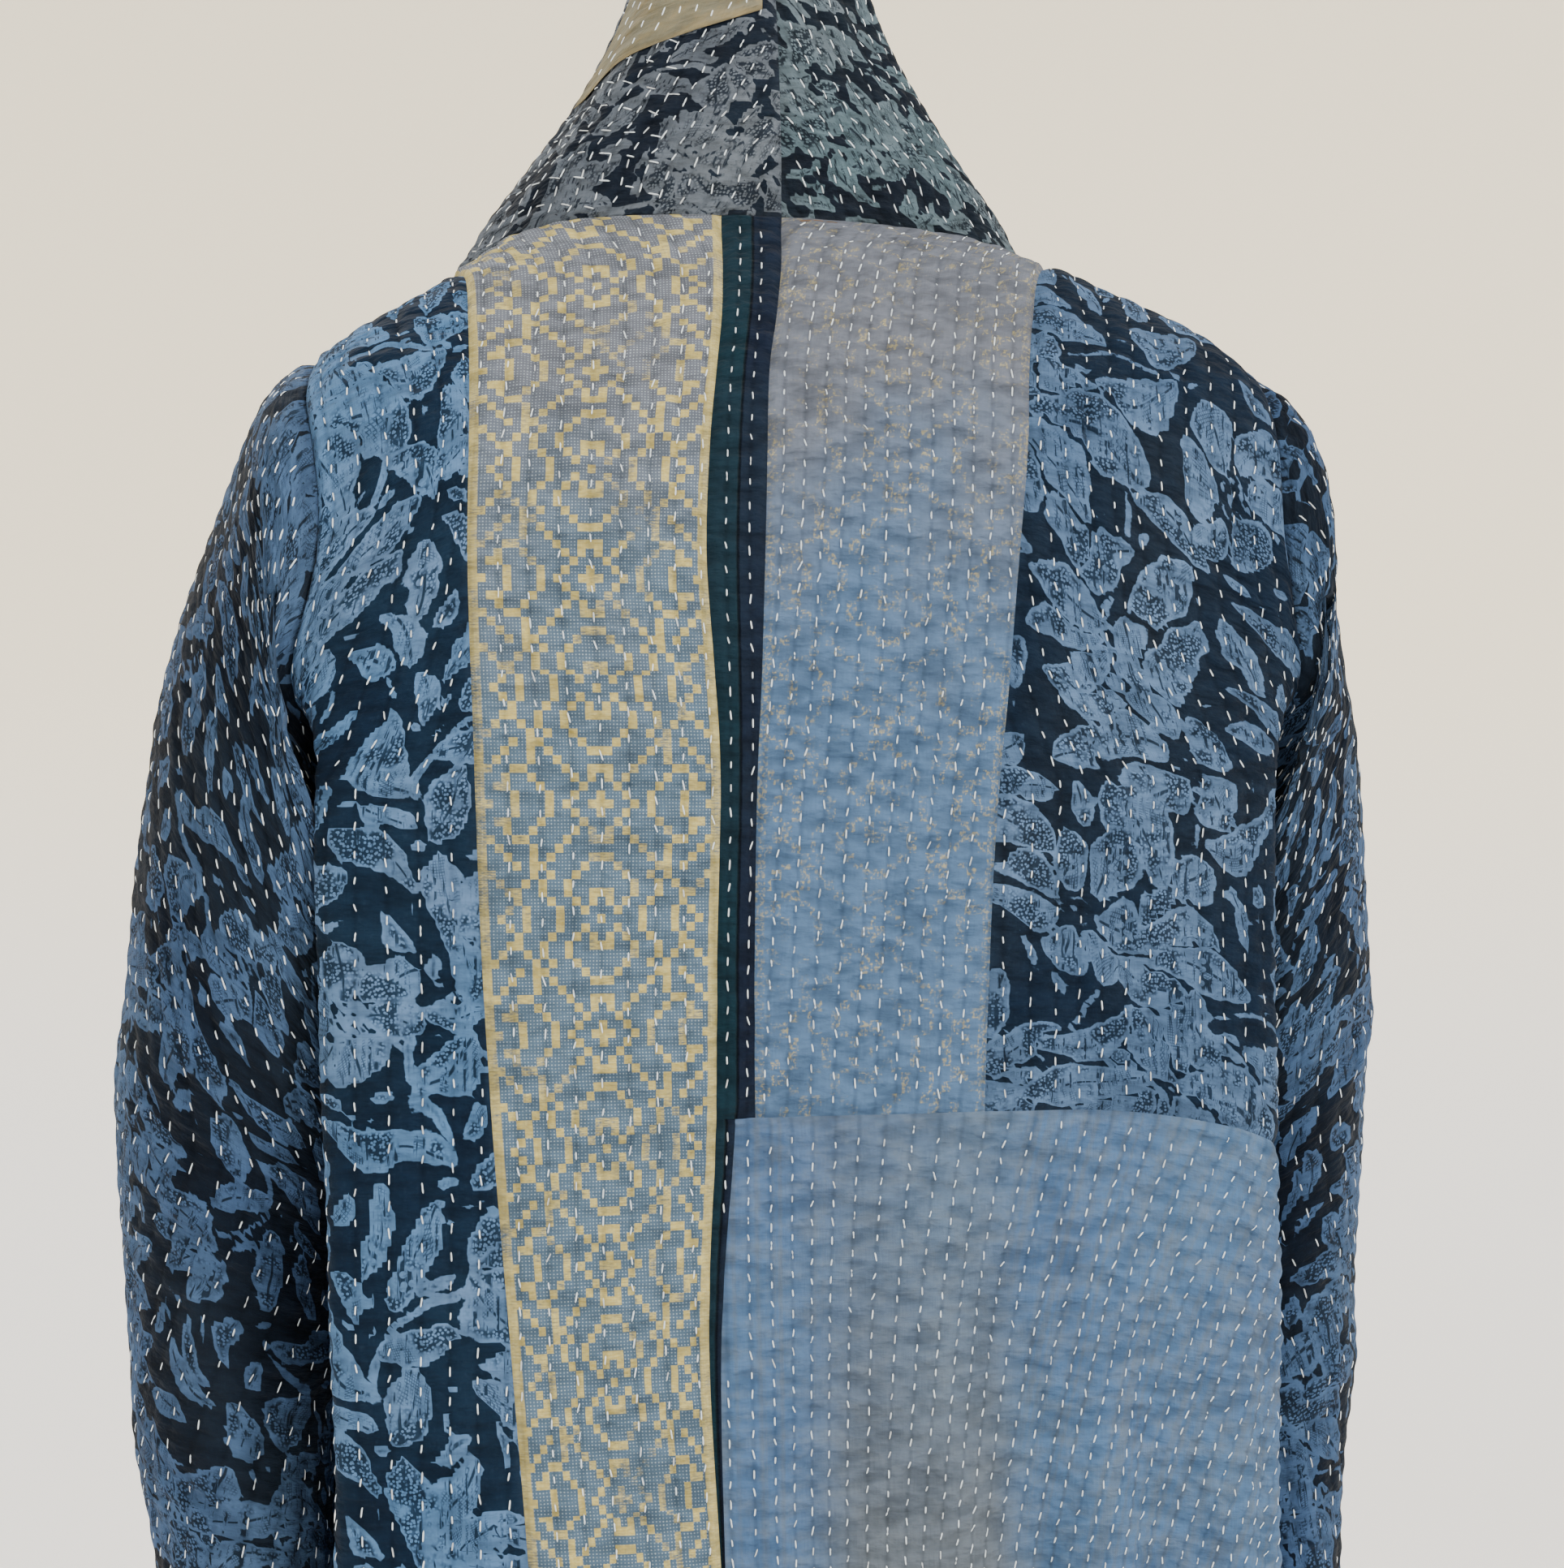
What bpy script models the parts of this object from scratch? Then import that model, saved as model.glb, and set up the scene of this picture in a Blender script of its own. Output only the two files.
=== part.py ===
"""A belted patchwork coat, hand-quilted with running stitch, worn open at the neck and hollow inside.

The coat faces -Y and its back faces +Y; the wearer's left is +X. The origin is at the nape seam's height.
One smooth figure surface carries every panel: `around` runs along a ring of it and `level` up its rings.
"""

import math

import bpy
import numpy as np

# Cloth, in metres
WALL = 0.0024
QUILT_RISE = 0.0012
SEAM_GAP = 0.0003
BAND_LAYER = 0.0046
PATCH_WALL = 0.0010
BELT_WALL = 0.0030
LYING_CLEARANCE = 0.0018

# Where the knots of a ring stand, from the centre of the back round to the centre of the front
BACK, CORNER, TUCK, SIDE, CHEST, FRONT = range(6)
ONCE_ROUND = 2 * FRONT

# How far the heights of the knots between back, side and front have swung over
CORNER_SHARE = 0.25
TUCK_SHARE = 0.75
CHEST_SHARE = 0.50

# How often a search on the figure is halved
HALVINGS = 30
NEAR = 1e-6
FINE_STEPS = 2000
EVEN_STEPS = 120
NORMAL_STEP_ROUND = 0.012
NORMAL_STEP_UP = 0.03
CREASE_ANGLE = math.radians(50)

# The figure: a row for each ring, from the hem up. Heights at back, side and front, then each knot's place.
FIGURE_COLUMNS = (
    "z_back", "z_side", "z_front", "back_y", "corner_x", "corner_y", "tuck_x", "tuck_y",
    "side_x", "side_y", "chest_x", "chest_y", "front_y",
)
FIGURE_ROWS = {
    "hem": (-0.950, -0.955, -0.955, 0.182, 0.240, 0.162, 0.250, 0.105, 0.249, 0.035, 0.205, -0.095, -0.150),
    "thigh": (-0.790, -0.795, -0.795, 0.174, 0.227, 0.157, 0.222, 0.098, 0.222, 0.035, 0.186, -0.088, -0.138),
    "hip": (-0.640, -0.640, -0.640, 0.166, 0.214, 0.150, 0.198, 0.094, 0.198, 0.038, 0.168, -0.080, -0.124),
    "high_hip": (
        -0.520, -0.520, -0.520, 0.158, 0.216, 0.147, 0.195, 0.094, 0.193, 0.040, 0.160, -0.072, -0.114,
    ),
    "waist": (-0.415, -0.424, -0.420, 0.147, 0.219, 0.136, 0.196, 0.092, 0.191, 0.042, 0.156, -0.064, -0.108),
    "ribs": (-0.340, -0.340, -0.340, 0.146, 0.220, 0.131, 0.196, 0.092, 0.190, 0.044, 0.160, -0.064, -0.114),
    "underarm": (
        -0.265, -0.265, -0.265, 0.148, 0.221, 0.131, 0.200, 0.094, 0.193, 0.048, 0.170, -0.056, -0.116,
    ),
    "blade_low": (
        -0.215, -0.215, -0.220, 0.148, 0.223, 0.135, 0.243, 0.110, 0.240, 0.046, 0.180, -0.048, -0.109,
    ),
    "blade": (-0.165, -0.170, -0.178, 0.142, 0.224, 0.136, 0.252, 0.112, 0.262, 0.045, 0.188, -0.044, -0.098),
    "upper": (-0.115, -0.128, -0.147, 0.130, 0.224, 0.128, 0.248, 0.098, 0.252, 0.042, 0.190, -0.038, -0.086),
    "cap": (-0.078, -0.096, -0.120, 0.115, 0.214, 0.109, 0.233, 0.076, 0.237, 0.036, 0.184, -0.031, -0.076),
    "tip": (-0.052, -0.067, -0.102, 0.101, 0.190, 0.088, 0.209, 0.058, 0.213, 0.030, 0.169, -0.025, -0.068),
    "ridge": (-0.026, -0.047, -0.088, 0.083, 0.149, 0.068, 0.171, 0.042, 0.179, 0.019, 0.148, -0.024, -0.061),
    "neck": (0.000, -0.029, -0.075, 0.066, 0.110, 0.052, 0.138, 0.030, 0.147, 0.010, 0.124, -0.026, -0.056),
    "stand_1": (
        0.028, -0.002, -0.060, 0.065, 0.097, 0.047, 0.121, 0.025, 0.129, 0.005, 0.107, -0.029, -0.055,
    ),
    "stand_2": (0.052, 0.026, -0.044, 0.063, 0.081, 0.044, 0.100, 0.022, 0.108, 0.002, 0.090, -0.030, -0.054),
    "stand_3": (0.076, 0.054, -0.024, 0.060, 0.067, 0.041, 0.081, 0.019, 0.087, 0.000, 0.074, -0.030, -0.052),
    "stand_4": (0.100, 0.085, 0.002, 0.056, 0.054, 0.038, 0.065, 0.017, 0.069, -0.002, 0.059, -0.030, -0.050),
    "top": (0.125, 0.118, 0.035, 0.050, 0.044, 0.034, 0.052, 0.015, 0.055, -0.003, 0.048, -0.030, -0.047),
}
LEVEL = {name: place for place, name in enumerate(FIGURE_ROWS)}

# Broad drape folds: where round the ring and how wide there, from which level down, and how deep at the hem
FOLD_COLUMNS = ("around", "spread", "top_level", "lean", "depth")
FOLD_ROWS = (
    (-0.22, 0.085, "waist", 0.010, 0.006),
    (-0.50, 0.075, "waist", 0.014, 0.009),
    (-0.78, 0.075, "ribs", 0.006, 0.008),
    (0.34, 0.090, "high_hip", -0.008, 0.006),
    (0.76, 0.080, "waist", -0.006, 0.007),
    (3.55, 0.180, "high_hip", 0.000, 0.007),
    (4.30, 0.120, "high_hip", 0.010, 0.008),
    (-3.55, 0.180, "high_hip", 0.000, 0.007),
    (-4.30, 0.120, "high_hip", -0.010, 0.008),
)
FOLD_CENTRE_Y = 0.02
FOLD_CREST = 1.5
FOLD_TROUGH = 0.8
TROUGH_SPREAD = 2.2

# The wearer's left shoulder sits lower than the right one
SHOULDER_TILT = 0.0075
SHOULDER_WIDTH = 0.215

# Seams of the back, as distances from its centre line at each level; the outer two end at the neck points
SEAM_COLUMNS = ("strip_outer", "strip_inner", "navy_right", "floral_inner")
SEAM_ROWS = {
    "hem": (0.137, 0.052, 0.035, -0.070),
    "thigh": (0.137, 0.052, 0.035, -0.070),
    "hip": (0.137, 0.053, 0.035, -0.070),
    "high_hip": (0.145, 0.058, 0.035, -0.070),
    "waist": (0.152, 0.052, 0.034, -0.073),
    "ribs": (0.156, 0.051, 0.034, -0.076),
    "underarm": (0.159, 0.050, 0.033, -0.080),
    "blade_low": (0.161, 0.053, 0.031, -0.085),
    "blade": (0.162, 0.055, 0.028, -0.091),
    "upper": (0.160, 0.051, 0.024, -0.099),
    "cap": (0.157, 0.044, 0.019, -0.105),
    "tip": (0.154, 0.038, 0.012, -0.113),
    "ridge": (0.150, 0.033, 0.005, -0.125),
    "neck": (0.147, 0.029, 0.000, -0.147),
}

# The narrow end of the navy strip below the waist
TAIL_END_ROW = 6
TAIL_END_WIDTH = 0.0015

# The front band: its seam to the front, its free edge past the centre, and the level where that edge lies
BAND_COLUMNS = ("seam_x", "free_x", "free_level")
BAND_ROWS = {
    "hem": (0.065, -0.065, 0.0),
    "thigh": (0.065, -0.065, 1.0),
    "hip": (0.065, -0.065, 2.0),
    "high_hip": (0.065, -0.065, 3.0),
    "waist": (0.065, -0.065, 4.0),
    "ribs": (0.067, -0.062, 5.0),
    "underarm": (0.073, -0.050, 6.15),
    "blade_low": (0.083, -0.030, 7.4),
    "blade": (0.094, -0.003, 8.8),
    "upper": (0.105, 0.020, 10.5),
    "cap": (0.115, 0.036, 12.2),
    "tip": (0.125, 0.047, 13.9),
    "ridge": (0.136, 0.055, 15.8),
    "neck": (0.147, 0.065, 18.0),
}

# The armhole: centre and half height in levels, and how far round it reaches to the back and to the front
ARMHOLE_MIDDLE = (LEVEL["underarm"] + LEVEL["tip"]) / 2
ARMHOLE_HALF = (LEVEL["tip"] - LEVEL["underarm"]) / 2
ARMHOLE_BACK_REACH = SIDE - CORNER
ARMHOLE_FRONT_REACH = CHEST - SIDE
ARMHOLE_STEPS = 12

# Rows of mesh below the armhole, and columns of mesh across the band, which are the collar's rows
SKIRT_ROWS = 10
WAIST_ROWS = 3
BAND_COLUMNS_ACROSS = 8
SIDE_COLUMNS = 14
RIGHT_COLUMNS = 16
STRIP_COLUMNS = 10
NAVY_COLUMNS = 2

# The waist seam on the wearer's right falls by this many levels between these two places round the ring
WAIST_SEAM_DROP = 0.20
DROP_START = 0.42
DROP_END = 1.10

# The sleeve: a row for each ring, from the armhole down to the cuff
SLEEVE_COLUMNS = ("outer_x", "outer_z", "inner_x", "inner_z", "centre_y", "half_depth", "own_shape")
SLEEVE_ROWS = (
    (0.213, -0.067, 0.193, -0.265, 0.045, 0.085, 0.00),
    (0.226, -0.075, 0.206, -0.260, 0.048, 0.085, 0.03),
    (0.238, -0.090, 0.214, -0.269, 0.051, 0.082, 0.15),
    (0.249, -0.114, 0.215, -0.287, 0.054, 0.078, 0.38),
    (0.261, -0.146, 0.212, -0.308, 0.056, 0.074, 0.66),
    (0.274, -0.186, 0.207, -0.333, 0.057, 0.070, 0.90),
    (0.285, -0.233, 0.205, -0.361, 0.056, 0.067, 1.00),
    (0.293, -0.290, 0.204, -0.395, 0.053, 0.065, 1.00),
    (0.297, -0.350, 0.204, -0.430, 0.047, 0.064, 1.00),
    (0.299, -0.410, 0.205, -0.466, 0.040, 0.063, 1.00),
    (0.299, -0.468, 0.206, -0.505, 0.034, 0.062, 1.00),
    (0.296, -0.523, 0.208, -0.548, 0.034, 0.061, 1.00),
    (0.290, -0.578, 0.210, -0.595, 0.040, 0.059, 1.00),
    (0.283, -0.633, 0.212, -0.643, 0.048, 0.057, 1.00),
    (0.278, -0.690, 0.214, -0.692, 0.054, 0.054, 1.00),
)

# Folds across a sleeve: how far down it, how deep, and where round it they are highest
SLEEVE_FOLD_COLUMNS = ("place", "depth", "lean")
SLEEVE_FOLD_ROWS = (
    (0.62, 0.0035, 3.0),
    (0.80, 0.0030, 2.0),
)
SLEEVE_FOLD_LEAN = 0.05
SLEEVE_FOLD_SPREAD = 0.045

# The patch on the collar: its columns of the collar, its rows, and where it ends below and above
PATCH_COLUMNS = np.s_[1:12]
PATCH_ROWS = 4
PATCH_FOOT_CENTRE = LEVEL["stand_4"] - 0.05
PATCH_FOOT_SIDE = LEVEL["stand_3"] - 0.10
PATCH_TOP = LEVEL["top"] - 0.12

# The belt: two ties sewn into the side seams, which rise from the fronts on to the bands
BELT_HEIGHT = 0.050
BELT_TOP_Z = -0.392
BELT_COLUMNS = 20
BELT_ROWS = 2
BELT_START = SIDE + 0.02
BELT_END_X = 0.0141
RISE_START_X = 0.150
RISE_END_X = 0.080

# The knot: how square it is across, fore and aft and in height, and how far it is pinched at the middle
KNOT_HALF_WIDTH = 0.0240
KNOT_HALF_HEIGHT = 0.0270
KNOT_HALF_DEPTH = 0.0125
KNOT_AROUND = 16
KNOT_RINGS = 7
KNOT_SQUARE_X = 0.6
KNOT_SQUARE_Y = 0.7
KNOT_SQUARE_Z = 3.2
KNOT_PINCH = 0.10

# The tails, which hang apart from behind the knot
KNOT_GAP = 0.0003
TAIL_CLEARANCE = 0.0014
TAIL_TUCK = 0.024
TAIL_LENGTH = 0.355
TAIL_TOP_WIDTH = 0.0120
TAIL_WIDTH = 0.046
TAIL_ROWS = 10
TAIL_COLUMNS = 4
TAIL_PART_TOP = 0.0015
TAIL_PART_SPREAD = 0.004
TAIL_WIDENS_FROM = 0.09
TAIL_WIDENS_OVER = 0.22
TAIL_LIFT_OVER = 0.20

CLOTH_COLOURS = {
    "floral": (0.13, 0.20, 0.32),
    "jacquard": (0.22, 0.26, 0.32),
    "navy": (0.02, 0.045, 0.10),
    "worn": (0.20, 0.26, 0.38),
    "collar": (0.15, 0.18, 0.21),
    "olive": (0.27, 0.25, 0.16),
    "belt": (0.04, 0.07, 0.13),
}


def clear_scene():
    for thing in list(bpy.data.objects):
        bpy.data.objects.remove(thing, do_unlink=True)


def cloth_material(cloth):
    """The plain material of one cloth, made on first use."""
    material = bpy.data.materials.get(cloth)
    if material is None:
        material = bpy.data.materials.new(cloth)
        material.use_nodes = True
        shader = material.node_tree.nodes["Principled BSDF"]
        shader.inputs["Base Color"].default_value = (*CLOTH_COLOURS[cloth], 1.0)
        shader.inputs["Roughness"].default_value = 0.85
        shader.inputs["Metallic"].default_value = 0.0
    return material


def smooth_step(share):
    share = np.clip(share, 0.0, 1.0)
    return share * share * (3.0 - 2.0 * share)


def through(rows, place):
    """A smooth curve through rows[0], rows[1] and so on, read at the numbers in place."""
    rows = np.asarray(rows, float)
    place = np.asarray(place, float)
    first = np.clip(np.floor(place).astype(int), 0, len(rows) - 2)
    share = place - first
    share = share.reshape(share.shape + (1,) * (rows.ndim - 1))
    padded = np.concatenate([[2 * rows[0] - rows[1]], rows, [2 * rows[-1] - rows[-2]]])
    before, start, end, after = (padded[first + step] for step in range(4))
    lean_start = (end - before) / 2
    lean_end = (after - start) / 2
    return hermite(start, end, lean_start, lean_end, share)


def hermite(start, end, lean_start, lean_end, share):
    square = share * share
    cube = square * share
    return (
        start * (2 * cube - 3 * square + 1)
        + lean_start * (cube - 2 * square + share)
        + end * (3 * square - 2 * cube)
        + lean_end * (cube - square)
    )


def ring_knots(row):
    """The six knots of one ring, with heights that swing from back to side and from side to front."""
    size = dict(zip(FIGURE_COLUMNS, row))
    back_to_side = size["z_side"] - size["z_back"]
    side_to_front = size["z_front"] - size["z_side"]
    height = {
        BACK: size["z_back"],
        CORNER: size["z_back"] + CORNER_SHARE * back_to_side,
        TUCK: size["z_back"] + TUCK_SHARE * back_to_side,
        SIDE: size["z_side"],
        CHEST: size["z_side"] + CHEST_SHARE * side_to_front,
        FRONT: size["z_front"],
    }
    return (
        (0.0, size["back_y"], height[BACK]),
        (size["corner_x"], size["corner_y"], height[CORNER]),
        (size["tuck_x"], size["tuck_y"], height[TUCK]),
        (size["side_x"], size["side_y"], height[SIDE]),
        (size["chest_x"], size["chest_y"], height[CHEST]),
        (0.0, size["front_y"], height[FRONT]),
    )


KNOTS = np.array([ring_knots(row) for row in FIGURE_ROWS.values()])
MIRROR = np.array([-1.0, 1.0, 1.0])


def fold_depth(around, level):
    """How far the broad folds push the cloth out at each point."""
    depth = np.zeros(np.shape(around))
    for row in FOLD_ROWS:
        fold = dict(zip(FOLD_COLUMNS, row))
        drop = (LEVEL[fold["top_level"]] - level) / LEVEL[fold["top_level"]]
        centre = fold["around"] + fold["lean"] * drop
        crest = np.exp(-(((around - centre) / fold["spread"]) ** 2))
        trough = np.exp(-(((around - centre) / (TROUGH_SPREAD * fold["spread"])) ** 2))
        depth = depth + fold["depth"] * smooth_step(drop) * (FOLD_CREST * crest - FOLD_TROUGH * trough)
    return depth


def shoulder_weight(level):
    """How fully a level takes the tilt of the shoulders: none at the neck seam and under the arms."""
    rising = smooth_step((level - LEVEL["blade_low"]) / (LEVEL["cap"] - LEVEL["blade_low"]))
    return rising * smooth_step((LEVEL["neck"] - level) / (LEVEL["neck"] - LEVEL["ridge"]))


def figure(around, level):
    """Points of the figure. Negative `around` is the wearer's right; past the front centre it goes on."""
    around, level = np.broadcast_arrays(np.asarray(around, float), np.asarray(level, float))
    past = np.abs(around) > FRONT
    side = np.where(around < 0, -1.0, 1.0) * np.where(past, -1.0, 1.0)
    reach = np.where(past, ONCE_ROUND - np.abs(around), np.abs(around))
    ring = through(KNOTS, level)
    padded = np.concatenate([ring[..., 1:2, :] * MIRROR, ring, ring[..., 4:5, :] * MIRROR], axis=-2)
    first = np.clip(np.floor(reach).astype(int), BACK, CHEST)
    before, start, end, after = (
        np.take_along_axis(padded, (first + step)[..., None, None], axis=-2)[..., 0, :] for step in range(4)
    )
    gap_before, gap, gap_after = (
        np.sqrt(np.linalg.norm(far - near, axis=-1, keepdims=True))
        for near, far in ((before, start), (start, end), (end, after))
    )
    lean_start = ((end - start) * gap_before / gap + (start - before) * gap / gap_before) / (gap_before + gap)
    lean_end = ((after - end) * gap / gap_after + (end - start) * gap_after / gap) / (gap + gap_after)
    points = hermite(start, end, lean_start * gap, lean_end * gap, (reach - first)[..., None])
    points[..., 0] *= side
    outward = points[..., :2] - np.array([0.0, FOLD_CENTRE_Y])
    outward /= np.linalg.norm(outward, axis=-1, keepdims=True)
    points[..., :2] += outward * fold_depth(side * reach, level)[..., None]
    points[..., 2] -= SHOULDER_TILT * points[..., 0] / SHOULDER_WIDTH * shoulder_weight(level)
    return points


def figure_normals(around, level):
    along = figure(around + NORMAL_STEP_ROUND, level) - figure(around - NORMAL_STEP_ROUND, level)
    low = np.clip(level - NORMAL_STEP_UP, 0.0, LEVEL["top"])
    high = np.clip(level + NORMAL_STEP_UP, 0.0, LEVEL["top"])
    up = figure(around, high) - figure(around, low)
    normals = np.cross(up, along)
    return normals / np.linalg.norm(normals, axis=-1, keepdims=True)


def search(distance, level, start, end):
    """Where from start to end, along which the figure nears the side or leaves it, it is `distance` out."""
    near = np.broadcast_to(start, np.shape(level)).astype(float)
    far = np.broadcast_to(end, np.shape(level)).astype(float)
    for _ in range(HALVINGS):
        middle = (near + far) / 2
        outside = figure(middle, level)[..., 0] > np.abs(distance)
        near = np.where(outside, near, middle)
        far = np.where(outside, middle, far)
    return (near + far) / 2


def back_around(distance, level):
    """Where on the back the figure is `distance` to the wearer's left of the centre, or right if negative."""
    reach = np.where(level < LEVEL["tip"], CORNER, SIDE)
    return search(distance, level, BACK, reach) * np.sign(distance)


def front_around(distance, level):
    """Where on the wearer's left front, or past the centre, the figure is `distance` to the left."""
    found = search(distance, level, FRONT, SIDE)
    return np.where(distance < 0, ONCE_ROUND - found, found)


def back_seam(column, level):
    """`around` of a back seam at the levels asked for."""
    distances = [row[SEAM_COLUMNS.index(column)] for row in SEAM_ROWS.values()]
    distance = through(distances, level)
    found = back_around(distance, level)
    if column in ("strip_outer", "floral_inner"):
        at_neck = level > LEVEL["neck"] - NEAR
        found = np.where(at_neck, np.copysign(SIDE, distance), found)
    return found


def band_edges(level):
    """`around` of the left band's seam, and `around` and level of its free edge, at the levels asked for."""
    seam_x, free_x, free_level = through(list(BAND_ROWS.values()), level).T
    at_neck = level > LEVEL["neck"] - NEAR
    seam = np.where(at_neck, SIDE, front_around(seam_x, level))
    free = np.where(at_neck, SIDE, front_around(free_x, free_level))
    return seam, free, free_level


def level_at_height(height):
    """The level whose centre back stands at a height."""
    heights = [row[0] for row in FIGURE_ROWS.values()]
    fine = np.linspace(0, len(heights) - 1, FINE_STEPS)
    return np.interp(height, through(np.array(heights), fine), fine)


def falling(around, level):
    """Levels of the wearer's right side, whose rows fall outward where the waist seam does."""
    fullness = np.interp(level, [LEVEL["hem"], LEVEL["waist"], LEVEL["underarm"]], [0.0, 1.0, 0.0])
    share = smooth_step((np.abs(around) - DROP_START) / (DROP_END - DROP_START))
    return level - WAIST_SEAM_DROP * fullness * share


def mesh_levels():
    """Levels of the mesh rows at a panel's centre and at its side, where the armhole is."""
    hem, waist, underarm = (FIGURE_ROWS[name][0] for name in ("hem", "waist", "underarm"))
    skirt = level_at_height(np.linspace(hem, waist, SKIRT_ROWS + 1))
    middle = level_at_height(np.linspace(waist, underarm, WAIST_ROWS + 1))[1:]
    fine = np.linspace(LEVEL["underarm"], LEVEL["neck"], FINE_STEPS)
    path = figure(back_seam("strip_outer", fine), fine)
    run = np.concatenate([[0.0], np.cumsum(np.linalg.norm(np.diff(path, axis=0), axis=1))])
    yoke = np.interp(run[-1] * np.arange(1, ARMHOLE_STEPS + 1) / ARMHOLE_STEPS, run, fine)
    turn = np.pi * np.arange(1, ARMHOLE_STEPS + 1) / ARMHOLE_STEPS
    armhole = ARMHOLE_MIDDLE - ARMHOLE_HALF * np.cos(turn)
    below = np.concatenate([skirt, middle])
    return np.concatenate([below, yoke]), np.concatenate([below, armhole])


def armhole_around(turn):
    """Where round the figure the armhole runs: turn 0 is at the shoulder, a quarter turn at the back."""
    reach = np.where(np.sin(turn) > 0, -ARMHOLE_BACK_REACH, ARMHOLE_FRONT_REACH)
    return SIDE + reach * np.abs(np.sin(turn))


def side_edge(front):
    """`around` at each mesh row of the side seam and armhole, on the wearer's left."""
    below = np.full(SKIRT_ROWS + WAIST_ROWS + 1, float(SIDE))
    turn = np.pi * np.arange(1, ARMHOLE_STEPS + 1) / ARMHOLE_STEPS
    edge = armhole_around(np.pi + turn) if front else armhole_around(np.pi - turn)
    return np.concatenate([below, edge])


def evenly(start, end, start_level, end_level, columns):
    """(around, level) of a row's points, at equal distances along the cloth."""
    fine = np.linspace(0.0, 1.0, EVEN_STEPS + 1)[None, :]
    around = start[:, None] + (end - start)[:, None] * fine
    level = start_level[:, None] + (end_level - start_level)[:, None] * fine
    steps = np.linalg.norm(np.diff(figure(around, level), axis=1), axis=-1)
    length = np.concatenate([np.zeros((len(start), 1)), np.cumsum(steps, axis=1)], axis=1)
    wanted = np.linspace(0.0, 1.0, columns + 1)
    share = np.array([np.interp(wanted * run[-1], run, fine[0]) for run in length])
    return (
        start[:, None] + (end - start)[:, None] * share,
        start_level[:, None] + (end_level - start_level)[:, None] * share,
    )


def inset(points, sides, gap=SEAM_GAP / 2):
    """Draws the named edges of a grid in from the seam line by half the gap."""
    edges = {
        "left": (np.s_[:, 0], np.s_[:, 1]),
        "right": (np.s_[:, -1], np.s_[:, -2]),
        "bottom": (np.s_[0], np.s_[1]),
        "top": (np.s_[-1], np.s_[-2]),
    }
    for side in sides:
        edge, next_in = edges[side]
        step = points[next_in] - points[edge]
        length = np.linalg.norm(step, axis=-1, keepdims=True)
        points[edge] = points[edge] + step / length * gap
    return points


def quilting(rows, columns, flat_rows=()):
    """1 on each ridge between two rows of stitches, 0 on the stitches and on the seams."""
    ridge = np.zeros((rows, columns))
    ridge[:, 1::2] = 1.0
    for row in flat_rows:
        ridge[row] = 0.0
    return ridge


def grid_faces(rows, columns, closed=False, inner_step=2):
    """Faces of a wall: a full grid outside and every `inner_step`th column inside, joined round the rim."""
    inner_columns = columns // inner_step if closed else (columns - 1) // inner_step + 1
    inner_start = rows * columns
    last = columns if closed else columns - 1

    def outer(row, column):
        return row * columns + column % columns

    def inner(row, column):
        return inner_start + row * inner_columns + (column // inner_step) % inner_columns

    faces = []
    for row in range(rows - 1):
        for column in range(last):
            faces.append((outer(row, column), outer(row + 1, column),
                          outer(row + 1, column + 1), outer(row, column + 1)))
        for column in range(0, last, inner_step):
            faces.append((inner(row, column), inner(row, column + inner_step),
                          inner(row + 1, column + inner_step), inner(row + 1, column)))
        if not closed:
            faces.append((outer(row, 0), inner(row, 0), inner(row + 1, 0), outer(row + 1, 0)))
            faces.append((outer(row, last), outer(row + 1, last), inner(row + 1, last), inner(row, last)))
    for row, up in ((0, False), (rows - 1, True)):
        for column in range(0, last, inner_step):
            ahead = column + inner_step
            rim = [(outer(row, column), outer(row, column + 1), inner(row, column))]
            rim.append((outer(row, column + 1), inner(row, ahead), inner(row, column)))
            if inner_step > 1:
                rim.append((outer(row, column + 1), outer(row, ahead), inner(row, ahead)))
            faces.extend(tuple(reversed(face)) if up else face for face in rim)
    return faces


def add_solid(name, cloth, points, faces, flip=False):
    mesh = bpy.data.meshes.new(name)
    if flip:
        faces = [tuple(reversed(face)) for face in faces]
    mesh.from_pydata([tuple(point) for point in points], [], faces)
    mesh.update()
    mesh.shade_smooth()
    mesh.set_sharp_from_angle(angle=CREASE_ANGLE)
    mesh.materials.append(cloth_material(cloth))
    solid = bpy.data.objects.new(name, mesh)
    bpy.context.scene.collection.objects.link(solid)
    return solid


def add_wall(name, cloth, points, normals, layer=0.0, wall=WALL, rise=QUILT_RISE, flat_rows=(),
             closed=False, flip=False, inner_step=2):
    """A cloth wall from a grid of points with an even number of columns between its edges."""
    rows, columns = points.shape[:2]
    layer = np.broadcast_to(np.asarray(layer, float), (rows, columns))[..., None]
    ridge = quilting(rows, columns, flat_rows)[..., None]
    inside = points + normals * layer
    outside = inside + normals * (wall + rise * ridge)
    vertices = np.concatenate([outside.reshape(-1, 3), inside[:, ::inner_step].reshape(-1, 3)])
    return add_solid(name, cloth, vertices, grid_faces(rows, columns, closed, inner_step), flip)


def add_panel(name, cloth, start, end, start_level, end_level, columns, seams, layer=0.0, fall=False,
              **looks):
    """A panel of the coat between two edges that run up the figure, with its seams drawn in."""
    around, level = evenly(start, end, start_level, end_level, columns)
    if fall:
        level = falling(around, level)
    points = inset(figure(around, level), seams)
    return add_wall(name, cloth, points, figure_normals(around, level), layer=layer, **looks)


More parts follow.
